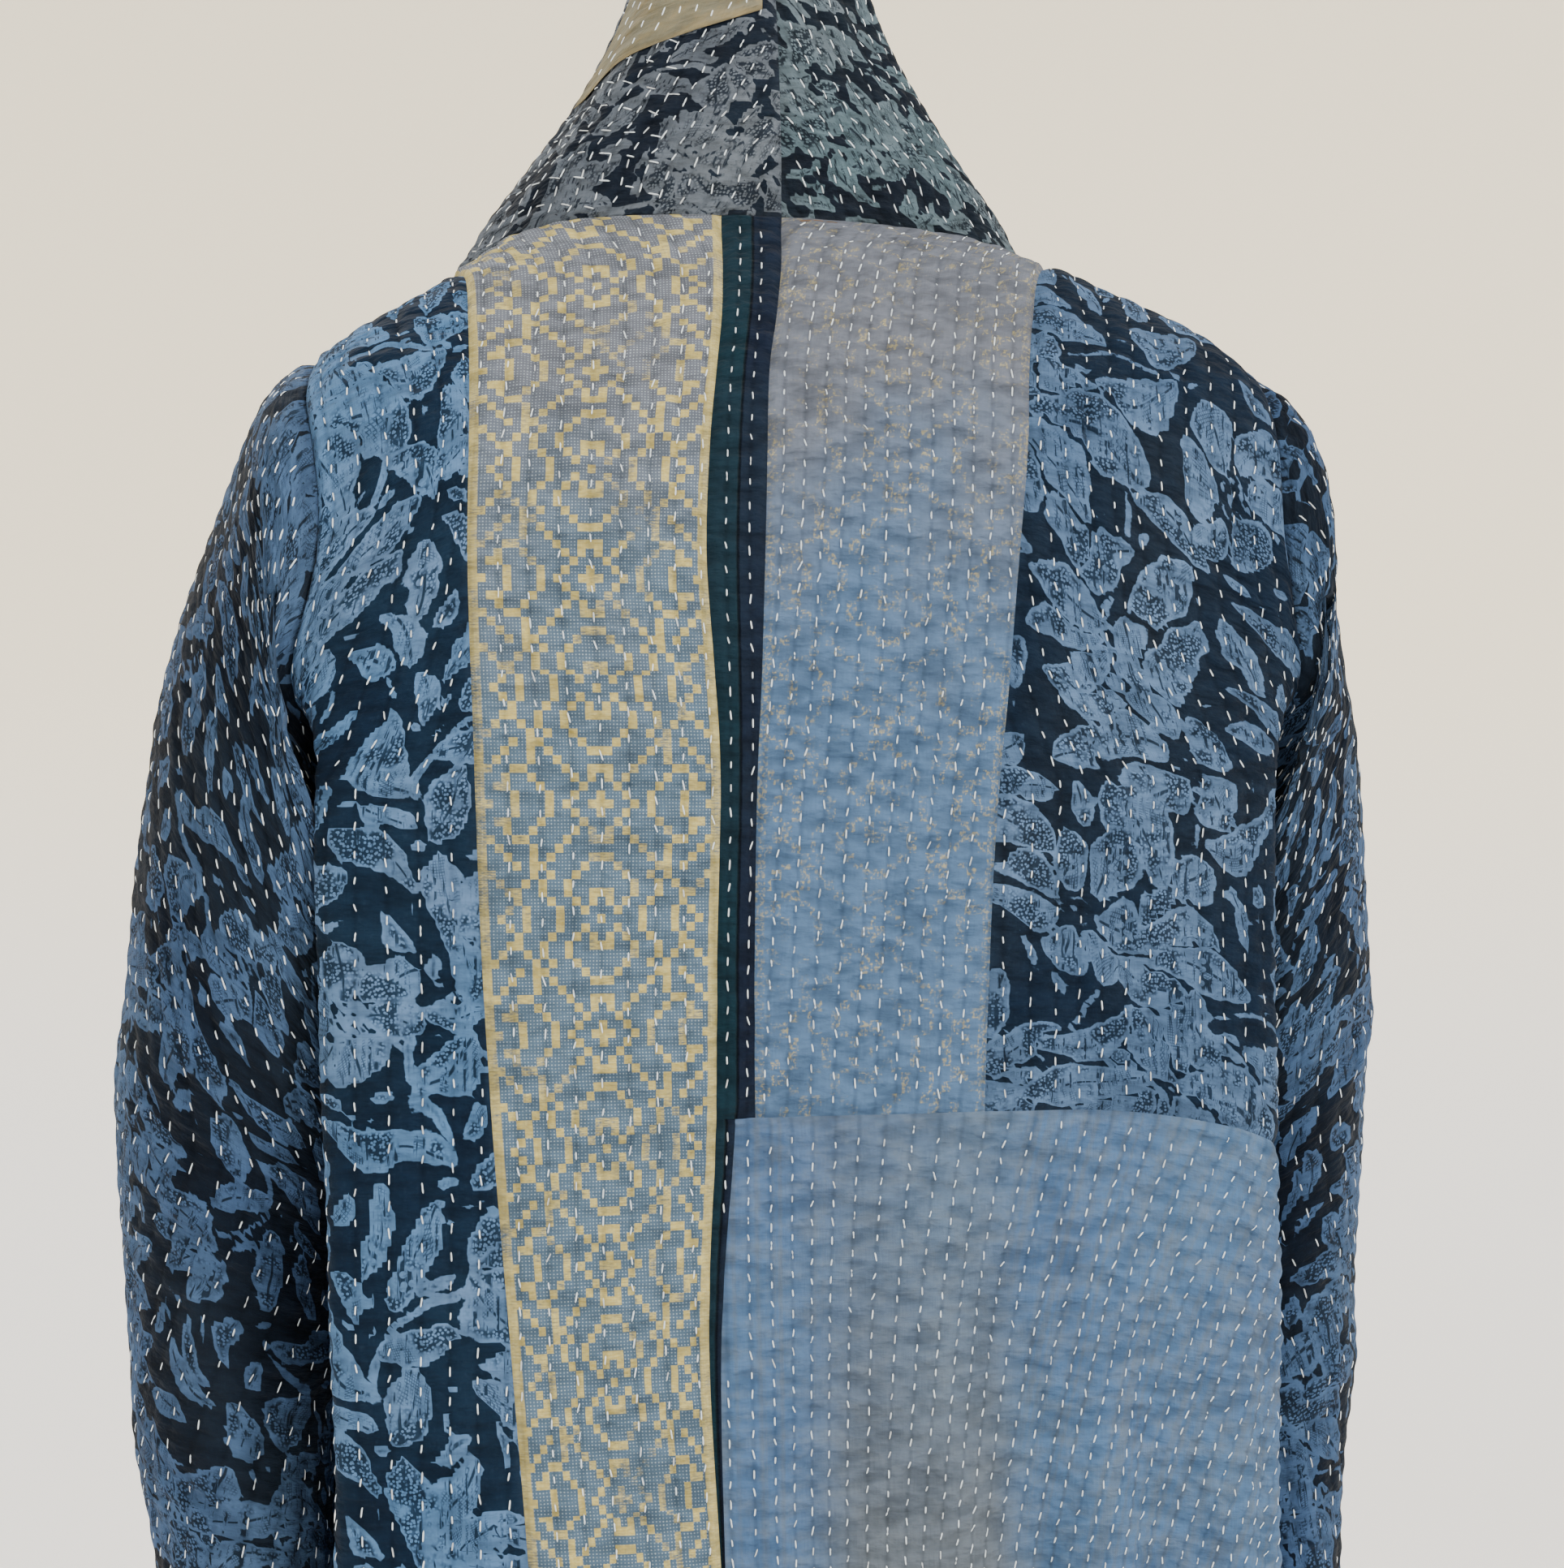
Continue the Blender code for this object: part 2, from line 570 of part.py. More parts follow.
def add_back():
    """Three strips from the neck seam down, a floral panel at each side and a plain one low on the right."""
    centre, outer = mesh_levels()
    strip_outer, strip_inner, navy_right, floral_inner = (back_seam(name, centre) for name in SEAM_COLUMNS)
    side = side_edge(front=False)
    upper = np.s_[SKIRT_ROWS:]
    lower = np.s_[: SKIRT_ROWS + 1]
    tail = np.s_[TAIL_END_ROW: SKIRT_ROWS + 1]
    tail_right = tail_seam(centre[tail])
    all_seams = ("left", "right", "top", "bottom")

    add_panel("back_left_floral", "floral", strip_outer, side, centre, outer, SIDE_COLUMNS,
              ("left", "right", "top"), flat_rows=(-1,))
    add_panel("back_jacquard_strip", "jacquard", strip_inner, strip_outer, centre, centre, STRIP_COLUMNS,
              ("left", "right", "top"), flat_rows=(-1,))
    add_panel("back_navy_strip", "navy", navy_right[upper], strip_inner[upper], centre[upper], centre[upper],
              NAVY_COLUMNS, all_seams, flat_rows=(0, -1))
    add_panel("back_navy_tail", "navy", tail_right, strip_inner[tail], centre[tail], centre[tail],
              NAVY_COLUMNS, all_seams, flat_rows=(0, -1))
    add_panel("back_right_worn", "worn", floral_inner[upper], navy_right[upper], centre[upper], centre[upper],
              STRIP_COLUMNS, all_seams, flat_rows=(0, -1))
    add_panel("back_right_floral", "floral", -side[upper], floral_inner[upper], outer[upper], centre[upper],
              RIGHT_COLUMNS, all_seams, flat_rows=(0, -1), fall=True)
    inner = strip_inner[lower].copy()
    inner[tail] = tail_right
    waist_stops = (-side[SKIRT_ROWS], floral_inner[SKIRT_ROWS], navy_right[SKIRT_ROWS], inner[-1])
    add_lower_right(waist_stops, inner, centre[lower])


def tail_seam(level):
    """The right edge of the navy strip's narrow end, which starts at half of the strip's width."""
    strip_inner = figure(back_seam("strip_inner", level), level)[..., 0]
    navy_right = figure(back_seam("navy_right", level), level)[..., 0]
    start_width = (strip_inner[-1] - navy_right[-1]) / 2
    width = np.linspace(TAIL_END_WIDTH, start_width, len(level))
    return back_around(strip_inner - width, level)


def add_lower_right(waist_stops, inner, level):
    """The plain panel under the right half; its top row has the points of the panels above it."""
    parts = []
    counts = (RIGHT_COLUMNS, STRIP_COLUMNS, NAVY_COLUMNS)
    for start, end, columns in zip(waist_stops[:-1], waist_stops[1:], counts):
        around, _ = evenly(np.array([start]), np.array([end]), level[-1:], level[-1:], columns)
        parts.append(around[0][:-1])
    top = np.append(np.concatenate(parts), inner[-1])
    side = np.full(len(level), waist_stops[0])
    whole, levels = evenly(side, inner, level, level, len(top) - 1)
    share = smooth_step(np.linspace(0.0, 1.0, len(level)))[:, None] ** 2
    around = whole * (1 - share) + top[None, :] * share
    levels = falling(around, levels)
    points = inset(figure(around, levels), ("left", "right", "top"))
    add_wall("back_right_lower", "worn", points, figure_normals(around, levels), flat_rows=(-1,))


def add_fronts():
    centre, outer = mesh_levels()
    seam, _, _ = band_edges(centre)
    side = side_edge(front=True)
    add_panel("front_left", "floral", side, seam, outer, centre, SIDE_COLUMNS, ("left", "right", "top"),
              flat_rows=(-1,))
    add_panel("front_right", "floral", -seam, -side, centre, falling(-side, outer), SIDE_COLUMNS,
              ("left", "right", "top"), flat_rows=(-1,))


def add_bands():
    """The bands lap across the front: each layer runs from nothing at its seam to full at its free edge."""
    centre, _ = mesh_levels()
    seam, free, free_level = band_edges(centre)
    lapped = smooth_step((LEVEL["top"] - free_level) / (LEVEL["top"] - LEVEL["cap"]))[:, None]
    share = np.linspace(0.0, 1.0, BAND_COLUMNS_ACROSS + 1)[None, :]
    layer = BAND_LAYER * lapped * share
    add_panel("band_left", "collar", seam, free, centre, free_level, BAND_COLUMNS_ACROSS, ("left", "top"),
              layer=-layer, flat_rows=(-1,), inner_step=1)
    add_panel("band_right", "collar", -free, -seam, free_level, centre, BAND_COLUMNS_ACROSS, ("right", "top"),
              layer=layer[:, ::-1], flat_rows=(-1,), inner_step=1)


def add_collar():
    """Two halves whose feet have the points of the panels below, and whose columns rise to the top edge."""
    neck = np.array([float(LEVEL["neck"])])
    strip_outer, strip_inner, navy_right, floral_inner = (back_seam(name, neck) for name in SEAM_COLUMNS)
    left = np.concatenate([
        evenly(navy_right, strip_inner, neck, neck, NAVY_COLUMNS)[0][0][:-1],
        evenly(strip_inner, strip_outer, neck, neck, STRIP_COLUMNS)[0][0],
    ])
    right = evenly(floral_inner, navy_right, neck, neck, STRIP_COLUMNS)[0][0]
    at_side = np.array([float(SIDE)])
    _, up = evenly(at_side, at_side, neck, neck + LEVEL["top"] - LEVEL["neck"], BAND_COLUMNS_ACROSS)
    for name, foot in (("collar_left", left), ("collar_right", right)):
        around, level = np.meshgrid(foot, up[0])
        points = inset(figure(around, level), ("left", "right", "bottom"))
        add_wall(name, "collar", points, figure_normals(around, level), flat_rows=(0,))
    add_collar_patch(left)


def add_collar_patch(foot):
    """The olive patch that lies on the collar's upper left, moved out from the collar's own points."""
    around = foot[PATCH_COLUMNS]
    share = np.linspace(0.0, 1.0, PATCH_ROWS + 1)[:, None]
    lower = np.linspace(PATCH_FOOT_CENTRE, PATCH_FOOT_SIDE, len(around))[None, :]
    level = lower * (1 - share) + PATCH_TOP * share
    grid = around[None, :] + 0 * share
    layer = WALL + QUILT_RISE + 2 * SEAM_GAP
    add_wall("collar_patch", "olive", figure(grid, level), figure_normals(grid, level), layer=layer,
             wall=PATCH_WALL, rise=0.0, inner_step=1)


def sleeve_rings(side):
    """A sleeve's rings, as on the left: first the armhole itself, then rings that near a tube's shape."""
    steps = 2 * ARMHOLE_STEPS
    turn = 2 * np.pi * np.arange(steps) / steps
    armhole_level = ARMHOLE_MIDDLE + ARMHOLE_HALF * np.cos(turn)
    mirror = np.array([side, 1.0, 1.0])
    armhole = figure(side * armhole_around(turn), armhole_level) * mirror
    normals = figure_normals(side * armhole_around(turn), armhole_level) * mirror
    first = dict(zip(SLEEVE_COLUMNS, SLEEVE_ROWS[0]))
    at_top = ((1 + np.cos(turn)) / 2)[:, None]
    rings = []
    for place, row in enumerate(SLEEVE_ROWS):
        size = dict(zip(SLEEVE_COLUMNS, row))
        shift = {column: size[column] - first[column] for column in SLEEVE_COLUMNS}
        top_shift = np.array([shift["outer_x"], shift["centre_y"], shift["outer_z"]])
        low_shift = np.array([shift["inner_x"], shift["centre_y"], shift["inner_z"]])
        carried = armhole + top_shift * at_top + low_shift * (1 - at_top)
        tilt = side * SHOULDER_TILT * (1 - place / (len(SLEEVE_ROWS) - 1))
        outer = np.array([size["outer_x"], size["centre_y"], size["outer_z"] - tilt])
        inner = np.array([size["inner_x"], size["centre_y"], size["inner_z"]])
        across = (outer - inner) / 2
        deep = np.array([0.0, size["half_depth"], 0.0])
        tube = (outer + inner) / 2 + across * np.cos(turn)[:, None] + deep * np.sin(turn)[:, None]
        rings.append(carried * (1 - size["own_shape"]) + tube * size["own_shape"])
    return np.array(rings), normals


def grid_normals(points):
    """Normals of a tube's grid, from its neighbours along and round."""
    along = np.gradient(points, axis=0)
    round_it = np.roll(points, -1, axis=1) - np.roll(points, 1, axis=1)
    normals = np.cross(along, round_it)
    return normals / np.linalg.norm(normals, axis=-1, keepdims=True)


def add_sleeves():
    for name, side in (("sleeve_left", 1.0), ("sleeve_right", -1.0)):
        rings, armhole_normals = sleeve_rings(side)
        normals = grid_normals(rings)
        turn = 2 * np.pi * np.arange(rings.shape[1]) / rings.shape[1]
        place = np.linspace(0.0, 1.0, len(rings))[:, None]
        for row in SLEEVE_FOLD_ROWS:
            fold = dict(zip(SLEEVE_FOLD_COLUMNS, row))
            middle = fold["place"] + SLEEVE_FOLD_LEAN * np.sin(turn + fold["lean"])
            wave = np.exp(-(((place - middle) / SLEEVE_FOLD_SPREAD) ** 2))
            rings = rings + normals * (fold["depth"] * wave)[..., None]
        normals[0] = armhole_normals
        rings = inset(rings, ("bottom",), SEAM_GAP)
        mirror = np.array([side, 1.0, 1.0])
        add_wall(name, "floral", rings * mirror, normals * mirror, flat_rows=(0, -1), closed=True,
                 flip=side < 0, inner_step=1)


def add_belt_half(name, side, lift_end):
    """A tie from the side seam to the knot, made from the front's points and moved out over the bands."""
    heights = BELT_TOP_Z - BELT_HEIGHT + BELT_HEIGHT * np.linspace(0.0, 1.0, BELT_ROWS + 1)
    level = level_at_height(heights)
    start = np.full(BELT_ROWS + 1, BELT_START)
    end = front_around(np.full(BELT_ROWS + 1, BELT_END_X), level)
    around, levels = evenly(start, end, level, level, BELT_COLUMNS)
    distance = figure(around, levels)[..., 0]
    rising = smooth_step((RISE_START_X - distance) / (RISE_START_X - RISE_END_X))
    lift_start = WALL + QUILT_RISE + LYING_CLEARANCE
    layer = lift_start + (lift_end - lift_start) * rising
    if side < 0:
        around, levels, layer = -around[:, ::-1], levels[:, ::-1], layer[:, ::-1]
    add_wall(name, "belt", figure(around, levels), figure_normals(around, levels), layer=layer,
             wall=BELT_WALL, rise=0.0)


def knot_centre():
    level = level_at_height(BELT_TOP_Z - BELT_HEIGHT / 2)
    front = figure(np.array([float(FRONT)]), np.array([level]))[0]
    stands_out = BAND_LAYER + WALL + QUILT_RISE + TAIL_CLEARANCE + BELT_WALL + KNOT_GAP + KNOT_HALF_DEPTH
    return front + np.array([0.0, -stands_out, 0.0])


def add_knot():
    """A soft, rounded knot, turned from rings of a rounded square."""
    centre = knot_centre()
    vertices = [centre + (0.0, 0.0, -KNOT_HALF_HEIGHT)]
    turn = 2 * np.pi * np.arange(KNOT_AROUND) / KNOT_AROUND
    square_x = np.sign(np.cos(turn)) * np.abs(np.cos(turn)) ** KNOT_SQUARE_X
    square_y = np.sign(np.sin(turn)) * np.abs(np.sin(turn)) ** KNOT_SQUARE_Y
    for ring in range(KNOT_RINGS):
        rise = -math.cos(math.pi * (ring + 1) / (KNOT_RINGS + 1))
        width = (1 - abs(rise) ** KNOT_SQUARE_Z) ** (1 / KNOT_SQUARE_Z)
        pinch = (1 - KNOT_PINCH * math.cos(math.pi * rise)) / (1 + KNOT_PINCH)
        for x, y in zip(square_x, square_y):
            vertices.append(centre + (x * width * pinch * KNOT_HALF_WIDTH, y * width * KNOT_HALF_DEPTH,
                                      rise * KNOT_HALF_HEIGHT))
    vertices.append(centre + (0.0, 0.0, KNOT_HALF_HEIGHT))
    faces = []
    top = len(vertices) - 1
    last = 1 + (KNOT_RINGS - 1) * KNOT_AROUND
    for step in range(KNOT_AROUND):
        following = (step + 1) % KNOT_AROUND
        faces.append((0, 1 + following, 1 + step))
        for ring in range(KNOT_RINGS - 1):
            low = 1 + ring * KNOT_AROUND
            high = low + KNOT_AROUND
            faces.append((low + step, low + following, high + following, high + step))
        faces.append((top, last + step, last + following))
    add_solid("belt_knot", "belt", vertices, faces)


def add_tail(name, side):
    """A tail that hangs from behind the knot, in front of the bands, gathered at its top."""
    top_z = knot_centre()[2] - KNOT_HALF_HEIGHT + TAIL_TUCK
    heights = top_z - TAIL_LENGTH * np.linspace(1.0, 0.0, TAIL_ROWS + 1)
    hang = ((top_z - heights) / TAIL_LENGTH)[:, None]
    widened = smooth_step((hang - TAIL_WIDENS_FROM) / TAIL_WIDENS_OVER)
    width = TAIL_TOP_WIDTH + (TAIL_WIDTH - TAIL_TOP_WIDTH) * widened
    part = TAIL_PART_TOP + TAIL_PART_SPREAD * hang
    distance = part + width * np.linspace(0.0, 1.0, TAIL_COLUMNS + 1)[None, :]
    levels = level_at_height(heights)[:, None] + 0 * distance
    around = front_around(distance, levels)[:, ::-1]
    layer = BAND_LAYER + WALL + QUILT_RISE + TAIL_CLEARANCE + 0 * distance
    if side < 0:
        around = -around[:, ::-1]
        layer -= BAND_LAYER / 2 * smooth_step(hang / TAIL_LIFT_OVER)
    add_wall(name, "belt", figure(around, levels), figure_normals(around, levels), layer=layer,
             wall=BELT_WALL, rise=0.0)


def add_belt():
    over_bands = BAND_LAYER + WALL + QUILT_RISE + LYING_CLEARANCE
    add_belt_half("belt_left", 1, over_bands)
    add_belt_half("belt_right", -1, over_bands)
    add_knot()
    add_tail("belt_tail_left", 1)
    add_tail("belt_tail_right", -1)


def main():
    clear_scene()
    add_back()
    add_fronts()
    add_bands()
    add_collar()
    add_sleeves()
    add_belt()


main()
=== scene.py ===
"""The dressed model of a belted patchwork coat, hand-quilted with running stitch.

The cloth follows the same figure as the solids: `around` runs along a ring of the figure, and `level` up its
rings. Every piece is a thin shell on a fine grid, with puckers between its rows of stitches and with creases,
and its stitches are threads.
"""

import math

import bpy
import numpy as np
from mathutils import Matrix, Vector


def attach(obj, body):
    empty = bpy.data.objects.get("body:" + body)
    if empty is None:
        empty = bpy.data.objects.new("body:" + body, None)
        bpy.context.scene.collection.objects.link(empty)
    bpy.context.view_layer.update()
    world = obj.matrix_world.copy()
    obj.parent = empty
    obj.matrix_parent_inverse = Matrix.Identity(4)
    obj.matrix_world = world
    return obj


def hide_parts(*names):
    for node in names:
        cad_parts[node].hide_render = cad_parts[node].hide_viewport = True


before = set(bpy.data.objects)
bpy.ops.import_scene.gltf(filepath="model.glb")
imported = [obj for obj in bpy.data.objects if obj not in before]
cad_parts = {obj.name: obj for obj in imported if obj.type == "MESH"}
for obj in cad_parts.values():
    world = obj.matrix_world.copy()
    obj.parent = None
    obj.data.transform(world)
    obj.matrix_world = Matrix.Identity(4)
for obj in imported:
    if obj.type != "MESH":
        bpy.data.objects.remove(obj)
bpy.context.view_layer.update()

# Cloth, in metres, as the solids have it
WALL = 0.0024
SEAM_GAP = 0.0003
BAND_LAYER = 0.0046
PATCH_WALL = 0.0010
BELT_WALL = 0.0030
QUILT_RISE = 0.0012
LYING_CLEARANCE = 0.0018

BACK, CORNER, TUCK, SIDE, CHEST, FRONT = range(6)
ONCE_ROUND = 2 * FRONT
CORNER_SHARE = 0.25
TUCK_SHARE = 0.75
CHEST_SHARE = 0.50
HALVINGS = 30
NEAR = 1e-6
FINE_STEPS = 2000
EVEN_STEPS = 120
NORMAL_STEP_ROUND = 0.012
NORMAL_STEP_UP = 0.03
CREASE_ANGLE = math.radians(50)

# The figure: a row for each ring, from the hem up. Heights at back, side and front, then each knot's place.
FIGURE_COLUMNS = (
    "z_back", "z_side", "z_front", "back_y", "corner_x", "corner_y", "tuck_x", "tuck_y",
    "side_x", "side_y", "chest_x", "chest_y", "front_y",
)
FIGURE_ROWS = {
    "hem": (-0.950, -0.955, -0.955, 0.182, 0.240, 0.162, 0.250, 0.105, 0.249, 0.035, 0.205, -0.095, -0.150),
    "thigh": (-0.790, -0.795, -0.795, 0.174, 0.227, 0.157, 0.222, 0.098, 0.222, 0.035, 0.186, -0.088, -0.138),
    "hip": (-0.640, -0.640, -0.640, 0.166, 0.214, 0.150, 0.198, 0.094, 0.198, 0.038, 0.168, -0.080, -0.124),
    "high_hip": (
        -0.520, -0.520, -0.520, 0.158, 0.216, 0.147, 0.195, 0.094, 0.193, 0.040, 0.160, -0.072, -0.114,
    ),
    "waist": (-0.415, -0.424, -0.420, 0.147, 0.219, 0.136, 0.196, 0.092, 0.191, 0.042, 0.156, -0.064, -0.108),
    "ribs": (-0.340, -0.340, -0.340, 0.146, 0.220, 0.131, 0.196, 0.092, 0.190, 0.044, 0.160, -0.064, -0.114),
    "underarm": (
        -0.265, -0.265, -0.265, 0.148, 0.221, 0.131, 0.200, 0.094, 0.193, 0.048, 0.170, -0.056, -0.116,
    ),
    "blade_low": (
        -0.215, -0.215, -0.220, 0.148, 0.223, 0.135, 0.243, 0.110, 0.240, 0.046, 0.180, -0.048, -0.109,
    ),
    "blade": (-0.165, -0.170, -0.178, 0.142, 0.224, 0.136, 0.252, 0.112, 0.262, 0.045, 0.188, -0.044, -0.098),
    "upper": (-0.115, -0.128, -0.147, 0.130, 0.224, 0.128, 0.248, 0.098, 0.252, 0.042, 0.190, -0.038, -0.086),
    "cap": (-0.078, -0.096, -0.120, 0.115, 0.214, 0.109, 0.233, 0.076, 0.237, 0.036, 0.184, -0.031, -0.076),
    "tip": (-0.052, -0.067, -0.102, 0.101, 0.190, 0.088, 0.209, 0.058, 0.213, 0.030, 0.169, -0.025, -0.068),
    "ridge": (-0.026, -0.047, -0.088, 0.083, 0.149, 0.068, 0.171, 0.042, 0.179, 0.019, 0.148, -0.024, -0.061),
    "neck": (0.000, -0.029, -0.075, 0.066, 0.110, 0.052, 0.138, 0.030, 0.147, 0.010, 0.124, -0.026, -0.056),
    "stand_1": (
        0.028, -0.002, -0.060, 0.065, 0.097, 0.047, 0.121, 0.025, 0.129, 0.005, 0.107, -0.029, -0.055,
    ),
    "stand_2": (0.052, 0.026, -0.044, 0.063, 0.081, 0.044, 0.100, 0.022, 0.108, 0.002, 0.090, -0.030, -0.054),
    "stand_3": (0.076, 0.054, -0.024, 0.060, 0.067, 0.041, 0.081, 0.019, 0.087, 0.000, 0.074, -0.030, -0.052),
    "stand_4": (0.100, 0.085, 0.002, 0.056, 0.054, 0.038, 0.065, 0.017, 0.069, -0.002, 0.059, -0.030, -0.050),
    "top": (0.125, 0.118, 0.035, 0.050, 0.044, 0.034, 0.052, 0.015, 0.055, -0.003, 0.048, -0.030, -0.047),
}
LEVEL = {name: place for place, name in enumerate(FIGURE_ROWS)}

# Broad drape folds: where round the ring and how wide there, from which level down, and how deep at the hem
FOLD_COLUMNS = ("around", "spread", "top_level", "lean", "depth")
FOLD_ROWS = (
    (-0.22, 0.085, "waist", 0.010, 0.006),
    (-0.50, 0.075, "waist", 0.014, 0.009),
    (-0.78, 0.075, "ribs", 0.006, 0.008),
    (0.34, 0.090, "high_hip", -0.008, 0.006),
    (0.76, 0.080, "waist", -0.006, 0.007),
    (3.55, 0.180, "high_hip", 0.000, 0.007),
    (4.30, 0.120, "high_hip", 0.010, 0.008),
    (-3.55, 0.180, "high_hip", 0.000, 0.007),
    (-4.30, 0.120, "high_hip", -0.010, 0.008),
)
FOLD_CENTRE_Y = 0.02
FOLD_CREST = 1.5
FOLD_TROUGH = 0.8
TROUGH_SPREAD = 2.2

# The wearer's left shoulder sits lower than the right one
SHOULDER_TILT = 0.0075
SHOULDER_WIDTH = 0.215

# Seams of the back, as distances from its centre line at each level; the outer two end at the neck points
SEAM_COLUMNS = ("strip_outer", "strip_inner", "navy_right", "floral_inner")
SEAM_ROWS = {
    "hem": (0.137, 0.052, 0.035, -0.070),
    "thigh": (0.137, 0.052, 0.035, -0.070),
    "hip": (0.137, 0.053, 0.035, -0.070),
    "high_hip": (0.145, 0.058, 0.035, -0.070),
    "waist": (0.152, 0.052, 0.034, -0.073),
    "ribs": (0.156, 0.051, 0.034, -0.076),
    "underarm": (0.159, 0.050, 0.033, -0.080),
    "blade_low": (0.161, 0.053, 0.031, -0.085),
    "blade": (0.162, 0.055, 0.028, -0.091),
    "upper": (0.160, 0.051, 0.024, -0.099),
    "cap": (0.157, 0.044, 0.019, -0.105),
    "tip": (0.154, 0.038, 0.012, -0.113),
    "ridge": (0.150, 0.033, 0.005, -0.125),
    "neck": (0.147, 0.029, 0.000, -0.147),
}

# The narrow end of the navy strip below the waist
TAIL_END_ROW = 144
TAIL_END_WIDTH = 0.0015

# The front band: its seam to the front, its free edge past the centre, and the level where that edge lies
BAND_COLUMNS = ("seam_x", "free_x", "free_level")
BAND_ROWS = {
    "hem": (0.065, -0.065, 0.0),
    "thigh": (0.065, -0.065, 1.0),
    "hip": (0.065, -0.065, 2.0),
    "high_hip": (0.065, -0.065, 3.0),
    "waist": (0.065, -0.065, 4.0),
    "ribs": (0.067, -0.062, 5.0),
    "underarm": (0.073, -0.050, 6.15),
    "blade_low": (0.083, -0.030, 7.4),
    "blade": (0.094, -0.003, 8.8),
    "upper": (0.105, 0.020, 10.5),
    "cap": (0.115, 0.036, 12.2),
    "tip": (0.125, 0.047, 13.9),
    "ridge": (0.136, 0.055, 15.8),
    "neck": (0.147, 0.065, 18.0),
}

# The armhole: centre and half height in levels, and how far round it reaches to the back and to the front
ARMHOLE_MIDDLE = (LEVEL["underarm"] + LEVEL["tip"]) / 2
ARMHOLE_HALF = (LEVEL["tip"] - LEVEL["underarm"]) / 2
ARMHOLE_BACK_REACH = SIDE - CORNER
ARMHOLE_FRONT_REACH = CHEST - SIDE
ARMHOLE_STEPS = 144
ARMHOLE_TURN = np.pi * np.arange(1, ARMHOLE_STEPS + 1) / ARMHOLE_STEPS

# Rows of mesh below the armhole: from the hem to the waist, and from the waist up to the armhole
SKIRT_ROWS = 240
WAIST_ROWS = 64

# The waist seam on the wearer's right falls by this many levels between these two places round the ring
WAIST_SEAM_DROP = 0.20
DROP_START = 0.42
DROP_END = 1.10

# The sleeve: a row for each ring, from the armhole down to the cuff
SLEEVE_COLUMNS = ("outer_x", "outer_z", "inner_x", "inner_z", "centre_y", "half_depth", "own_shape")
SLEEVE_ROWS = (
    (0.213, -0.067, 0.193, -0.265, 0.045, 0.085, 0.00),
    (0.226, -0.075, 0.206, -0.260, 0.048, 0.085, 0.03),
    (0.238, -0.090, 0.214, -0.269, 0.051, 0.082, 0.15),
    (0.249, -0.114, 0.215, -0.287, 0.054, 0.078, 0.38),
    (0.261, -0.146, 0.212, -0.308, 0.056, 0.074, 0.66),
    (0.274, -0.186, 0.207, -0.333, 0.057, 0.070, 0.90),
    (0.285, -0.233, 0.205, -0.361, 0.056, 0.067, 1.00),
    (0.293, -0.290, 0.204, -0.395, 0.053, 0.065, 1.00),
    (0.297, -0.350, 0.204, -0.430, 0.047, 0.064, 1.00),
    (0.299, -0.410, 0.205, -0.466, 0.040, 0.063, 1.00),
    (0.299, -0.468, 0.206, -0.505, 0.034, 0.062, 1.00),
    (0.296, -0.523, 0.208, -0.548, 0.034, 0.061, 1.00),
    (0.290, -0.578, 0.210, -0.595, 0.040, 0.059, 1.00),
    (0.283, -0.633, 0.212, -0.643, 0.048, 0.057, 1.00),
    (0.278, -0.690, 0.214, -0.692, 0.054, 0.054, 1.00),
)

# Folds across a sleeve: how far down it, how deep, and where round it they are highest
SLEEVE_FOLD_COLUMNS = ("place", "depth", "lean")
SLEEVE_FOLD_ROWS = (
    (0.62, 0.0035, 3.0),
    (0.80, 0.0030, 2.0),
)
SLEEVE_FOLD_LEAN = 0.05
SLEEVE_FOLD_SPREAD = 0.045

# The patch on the collar: its columns of the collar, its rows, and where it ends below and above
PATCH_COLUMNS = np.s_[1:12]
PATCH_ROWS = 24
PATCH_FOOT_CENTRE = LEVEL["stand_4"] - 0.05
PATCH_FOOT_SIDE = LEVEL["stand_3"] - 0.10
PATCH_TOP = LEVEL["top"] - 0.12

# The belt: two ties sewn into the side seams, which rise from the fronts on to the bands
BELT_HEIGHT = 0.050
BELT_TOP_Z = -0.392
BELT_COLUMNS = 120
BELT_ROWS = 24
BELT_START = SIDE + 0.02
BELT_END_X = 0.0141
RISE_START_X = 0.150
RISE_END_X = 0.080

# The knot: how square it is across, fore and aft and in height, and how far it is pinched at the middle
KNOT_HALF_WIDTH = 0.0240
KNOT_HALF_HEIGHT = 0.0270
KNOT_HALF_DEPTH = 0.0125
KNOT_AROUND = 96
KNOT_RINGS = 60
KNOT_SQUARE_X = 0.6
KNOT_SQUARE_Y = 0.7
KNOT_SQUARE_Z = 3.2
KNOT_PINCH = 0.10

# The tails, which hang apart from behind the knot
KNOT_GAP = 0.0003
TAIL_CLEARANCE = 0.0014
TAIL_TUCK = 0.024
TAIL_LENGTH = 0.355
TAIL_TOP_WIDTH = 0.0120
TAIL_WIDTH = 0.046
TAIL_ROWS = 140
TAIL_COLUMNS = 18
TAIL_PART_TOP = 0.0015
TAIL_PART_SPREAD = 0.004
TAIL_WIDENS_FROM = 0.09
TAIL_WIDENS_OVER = 0.22
TAIL_LIFT_OVER = 0.20

